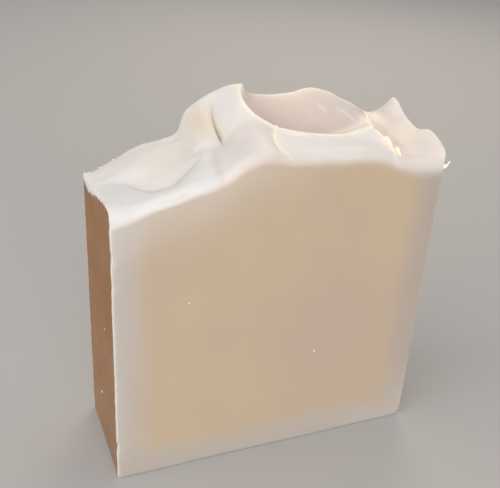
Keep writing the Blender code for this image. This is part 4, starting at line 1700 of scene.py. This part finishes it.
@dataclass
class Crumbs:
    """Specks of soap that stuck to the bar's faces and edges.

    Attributes:
        name: the piece's name.
        spots: place and size of each speck, in millimetres.
        stretch: how much wider the bar is than its plan.
        lumpiness: how uneven a speck is.
        lump_scale: scale of that unevenness.
        lump_shift: how far the noise is shifted from speck to speck.
        on_cut: shape of a speck that lies against a cut face.
        on_mould: shape of one that lies against a mould face.
        mould_margin: how near a mould face a speck must be to lie against it.
    """

    name: str
    spots: tuple[tuple[Point, float], ...]
    stretch: float
    lumpiness: float = 0.45
    lump_scale: float = 1.3
    lump_shift: float = 3.7
    on_cut: Point = (1.0, 0.5, 0.8)
    on_mould: Point = (0.5, 1.0, 0.8)
    mould_margin: float = 0.5

    def build(self) -> bpy.types.Object:
        """Make one lumpy chip at each spot.

        Returns:
            The chips, in metres.
        """
        shape = bmesh.new()
        bmesh.ops.create_icosphere(shape, subdivisions=2, radius=1.0)
        ball = np.array([v.co for v in shape.verts])
        corners = [tuple(v.index for v in face.verts) for face in shape.faces]
        shape.free()
        points, faces = [], []
        for number, (spot, size) in enumerate(self.spots):
            shift = Vector((number * self.lump_shift, 0.0, 0.0))
            lumps = np.array([noise.noise(Vector(p) * self.lump_scale + shift) for p in ball])
            beside_mould = abs(spot[0]) > PLAN_WIDTH / 2 - self.mould_margin
            squash = np.array(self.on_mould if beside_mould else self.on_cut)
            faces += [tuple(i + number * len(ball) for i in face) for face in corners]
            points.append(np.array(spot) + ball * (1.0 + self.lumpiness * lumps)[:, None] * squash * size)
        return closed_mesh(self.name, np.vstack(points), faces, self.stretch)


@dataclass(frozen=True)
class Lamp:
    """One soft square lamp.

    Attributes:
        name: the lamp's name.
        at: where it hangs.
        to: what it points at.
        size: the side of its face.
        power: its power in watts.
        colour: its colour.
    """

    name: str
    at: Point
    to: Point
    size: float
    power: float
    colour: Colour

    def build(self) -> None:
        """Hang the lamp and turn it to what it points at."""
        data = bpy.data.lights.new(self.name, "AREA")
        data.size, data.energy, data.color = self.size, self.power, self.colour
        lamp = bpy.data.objects.new(self.name, data)
        bpy.context.collection.objects.link(lamp)
        lamp.location = self.at
        lamp.rotation_euler = (Vector(self.to) - Vector(self.at)).to_track_quat("-Z", "Y").to_euler()


@dataclass(frozen=True)
class Studio:
    """Pale floor, soft lamps, and the camera.

    Attributes:
        azimuth: the camera's turn round the bar, in degrees.
        elevation: how far above level it looks from.
        roll: how far it is tipped sideways.
        lens: its focal length in millimetres.
        nearest: the nearest distance that it sees.
        camera_at: where it stands.
        floor_reach: how far the floor reaches each way.
        floor_colour: the floor's colour.
        floor_roughness: how matt it is.
        air_colour: colour of the light from all round.
        air_strength: how bright that is.
        lamps: the lamps.
    """

    azimuth: float = -22.896
    elevation: float = 29.153
    roll: float = 3.559
    lens: float = 58.5
    nearest: float = 0.01
    camera_at: Point = (-0.0621, -0.14196, 0.13306)
    floor_reach: float = 3.0
    floor_colour: Colour = (0.55, 0.535, 0.52)
    floor_roughness: float = 0.7
    air_colour: Colour = (0.86, 0.88, 0.92)
    air_strength: float = 0.45
    lamps: tuple[Lamp, ...] = (
        Lamp("back_key", (0.20, 0.34, 0.30), (0.0, 0.0, 0.06), 0.25, 0.5, (1.0, 0.84, 0.62)),
        Lamp("overhead", (-0.42, -0.14, 0.44), (0.0, 0.0, 0.05), 0.6, 1.38, (1.0, 0.97, 0.94)),
        Lamp("front_fill", (-0.16, -0.78, 0.30), (0.0, 0.0, 0.035), 0.7, 3.15, (1.0, 0.98, 0.96)),
    )

    def build(self) -> None:
        """Set up the floor, the lamps, the light from all round and the camera."""
        self.floor()
        for lamp in self.lamps:
            lamp.build()
        world = bpy.data.worlds.new("studio_air")
        world.use_nodes = True
        air = world.node_tree.nodes["Background"]
        air.inputs["Color"].default_value = (*self.air_colour, 1.0)
        air.inputs["Strength"].default_value = self.air_strength
        bpy.context.scene.world = world
        bpy.context.scene.view_settings.view_transform = "Standard"
        self.camera()

    def floor(self) -> None:
        """Lay the plain pale floor."""
        mesh = bpy.data.meshes.new("studio_floor")
        reach = self.floor_reach
        corners = [(-reach, -reach, 0), (reach, -reach, 0), (reach, reach, 0), (-reach, reach, 0)]
        mesh.from_pydata(corners, [], [(0, 1, 2, 3)])
        floor = bpy.data.objects.new("studio_floor", mesh)
        bpy.context.collection.objects.link(floor)
        material = bpy.data.materials.new("studio_floor")
        material.use_nodes = True
        shader = material.node_tree.nodes["Principled BSDF"]
        shader.inputs["Base Color"].default_value = (*self.floor_colour, 1.0)
        shader.inputs["Roughness"].default_value = self.floor_roughness
        mesh.materials.append(material)

    def camera(self) -> None:
        """Stand the camera up and turn it to the bar."""
        a, e, r = (math.radians(v) for v in (self.azimuth, self.elevation, self.roll))
        back = Vector((math.sin(a) * math.cos(e), -math.cos(a) * math.cos(e), math.sin(e)))
        right = (-back).cross(Vector((0, 0, 1))).normalized()
        up = right.cross(-back)
        rolled_right = right * math.cos(r) + up * math.sin(r)
        rolled_up = up * math.cos(r) - right * math.sin(r)
        data = bpy.data.cameras.new("camera")
        data.lens = self.lens
        data.clip_start = self.nearest
        camera = bpy.data.objects.new("camera", data)
        bpy.context.collection.objects.link(camera)
        turn = Matrix((rolled_right, rolled_up, back)).transposed().to_4x4()
        camera.matrix_world = Matrix.Translation(self.camera_at) @ turn
        bpy.context.scene.camera = camera


def place(piece: bpy.types.Object, finish: bpy.types.Material, nodes: list[str]) -> None:
    """Dress a piece and say which CAD nodes it stands for.

    Args:
        piece: the piece.
        finish: its material.
        nodes: the nodes that it replaces.
    """
    piece.data.materials.append(finish)
    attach(piece, "root")
    if nodes:
        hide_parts(*nodes)
    log.info("%s has %d faces", piece.name, len(piece.data.polygons))


def trims_for(stretch: float) -> dict[str, RidgeFlake | WireBurr]:
    """Size the thin curls of soap.

    Args:
        stretch: how much wider the bar is than its plan.

    Returns:
        Each curl, under the name of the CAD node that it replaces.
    """
    large = RidgeFlake(
        "large_flake", ((25.1, -4.1, 70.6), (24.8, -6.6, 70.4), (24.3, -9.6, 70)),
        height=1.45, thickness=0.85, curl=-0.3, seed=2.0, stretch=stretch)
    small = RidgeFlake(
        "small_flake", ((25.4, -7.8, 69.9), (25, -9.8, 69.7), (24.4, -12, 69.1)),
        height=1.05, thickness=0.5, curl=0.2, seed=6.0, stretch=stretch)
    burr = WireBurr(
        "burr_thread", ((34.8, -12.3, 66.6), (35.4, -12.5, 66.8), (35.9, -12.6, 67.3), (36.2, -12.6, 67.9)),
        radius=0.42, stretch=stretch)
    return {"ridge_flake_large": large, "ridge_flake_small": small, "wire_burr": burr}


def main() -> None:
    """Build the bar, its trims, its crumbs and the studio."""
    logging.basicConfig(level=logging.INFO, format="%(name)s: %(message)s")
    low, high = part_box("rind_base")
    bar = SoapBar(width=(high.x - low.x) / MM, thickness=(high.y - low.y) / MM)
    soap = SoapFinish().build("soap")
    # The flakes and the burr: pale thin soap with an even painted glow.
    thin = SoapFinish(core=(1.0, 0.93, 0.74), cloud=(1.0, 0.95, 0.84), tones=(), roughness=0.3,
                      weight=0.0, glow_strength=0.3).build("thin_soap")
    chip = SoapFinish(core=(0.95, 0.91, 0.84), cloud=(0.93, 0.9, 0.85), tones=(), weight=0.0,
                      glow_strength=0.0).build("chip_soap")
    trims = trims_for(bar.stretch)
    casting = [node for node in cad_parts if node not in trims]
    place(bar.build(), soap, casting)
    for node, trim in trims.items():
        place(trim.build(), thin, [node])
    place(Crumbs("loose_crumbs", CRUMBS, bar.stretch).build(), chip, [])
    Studio().build()


if __name__ == "__main__":
    main()
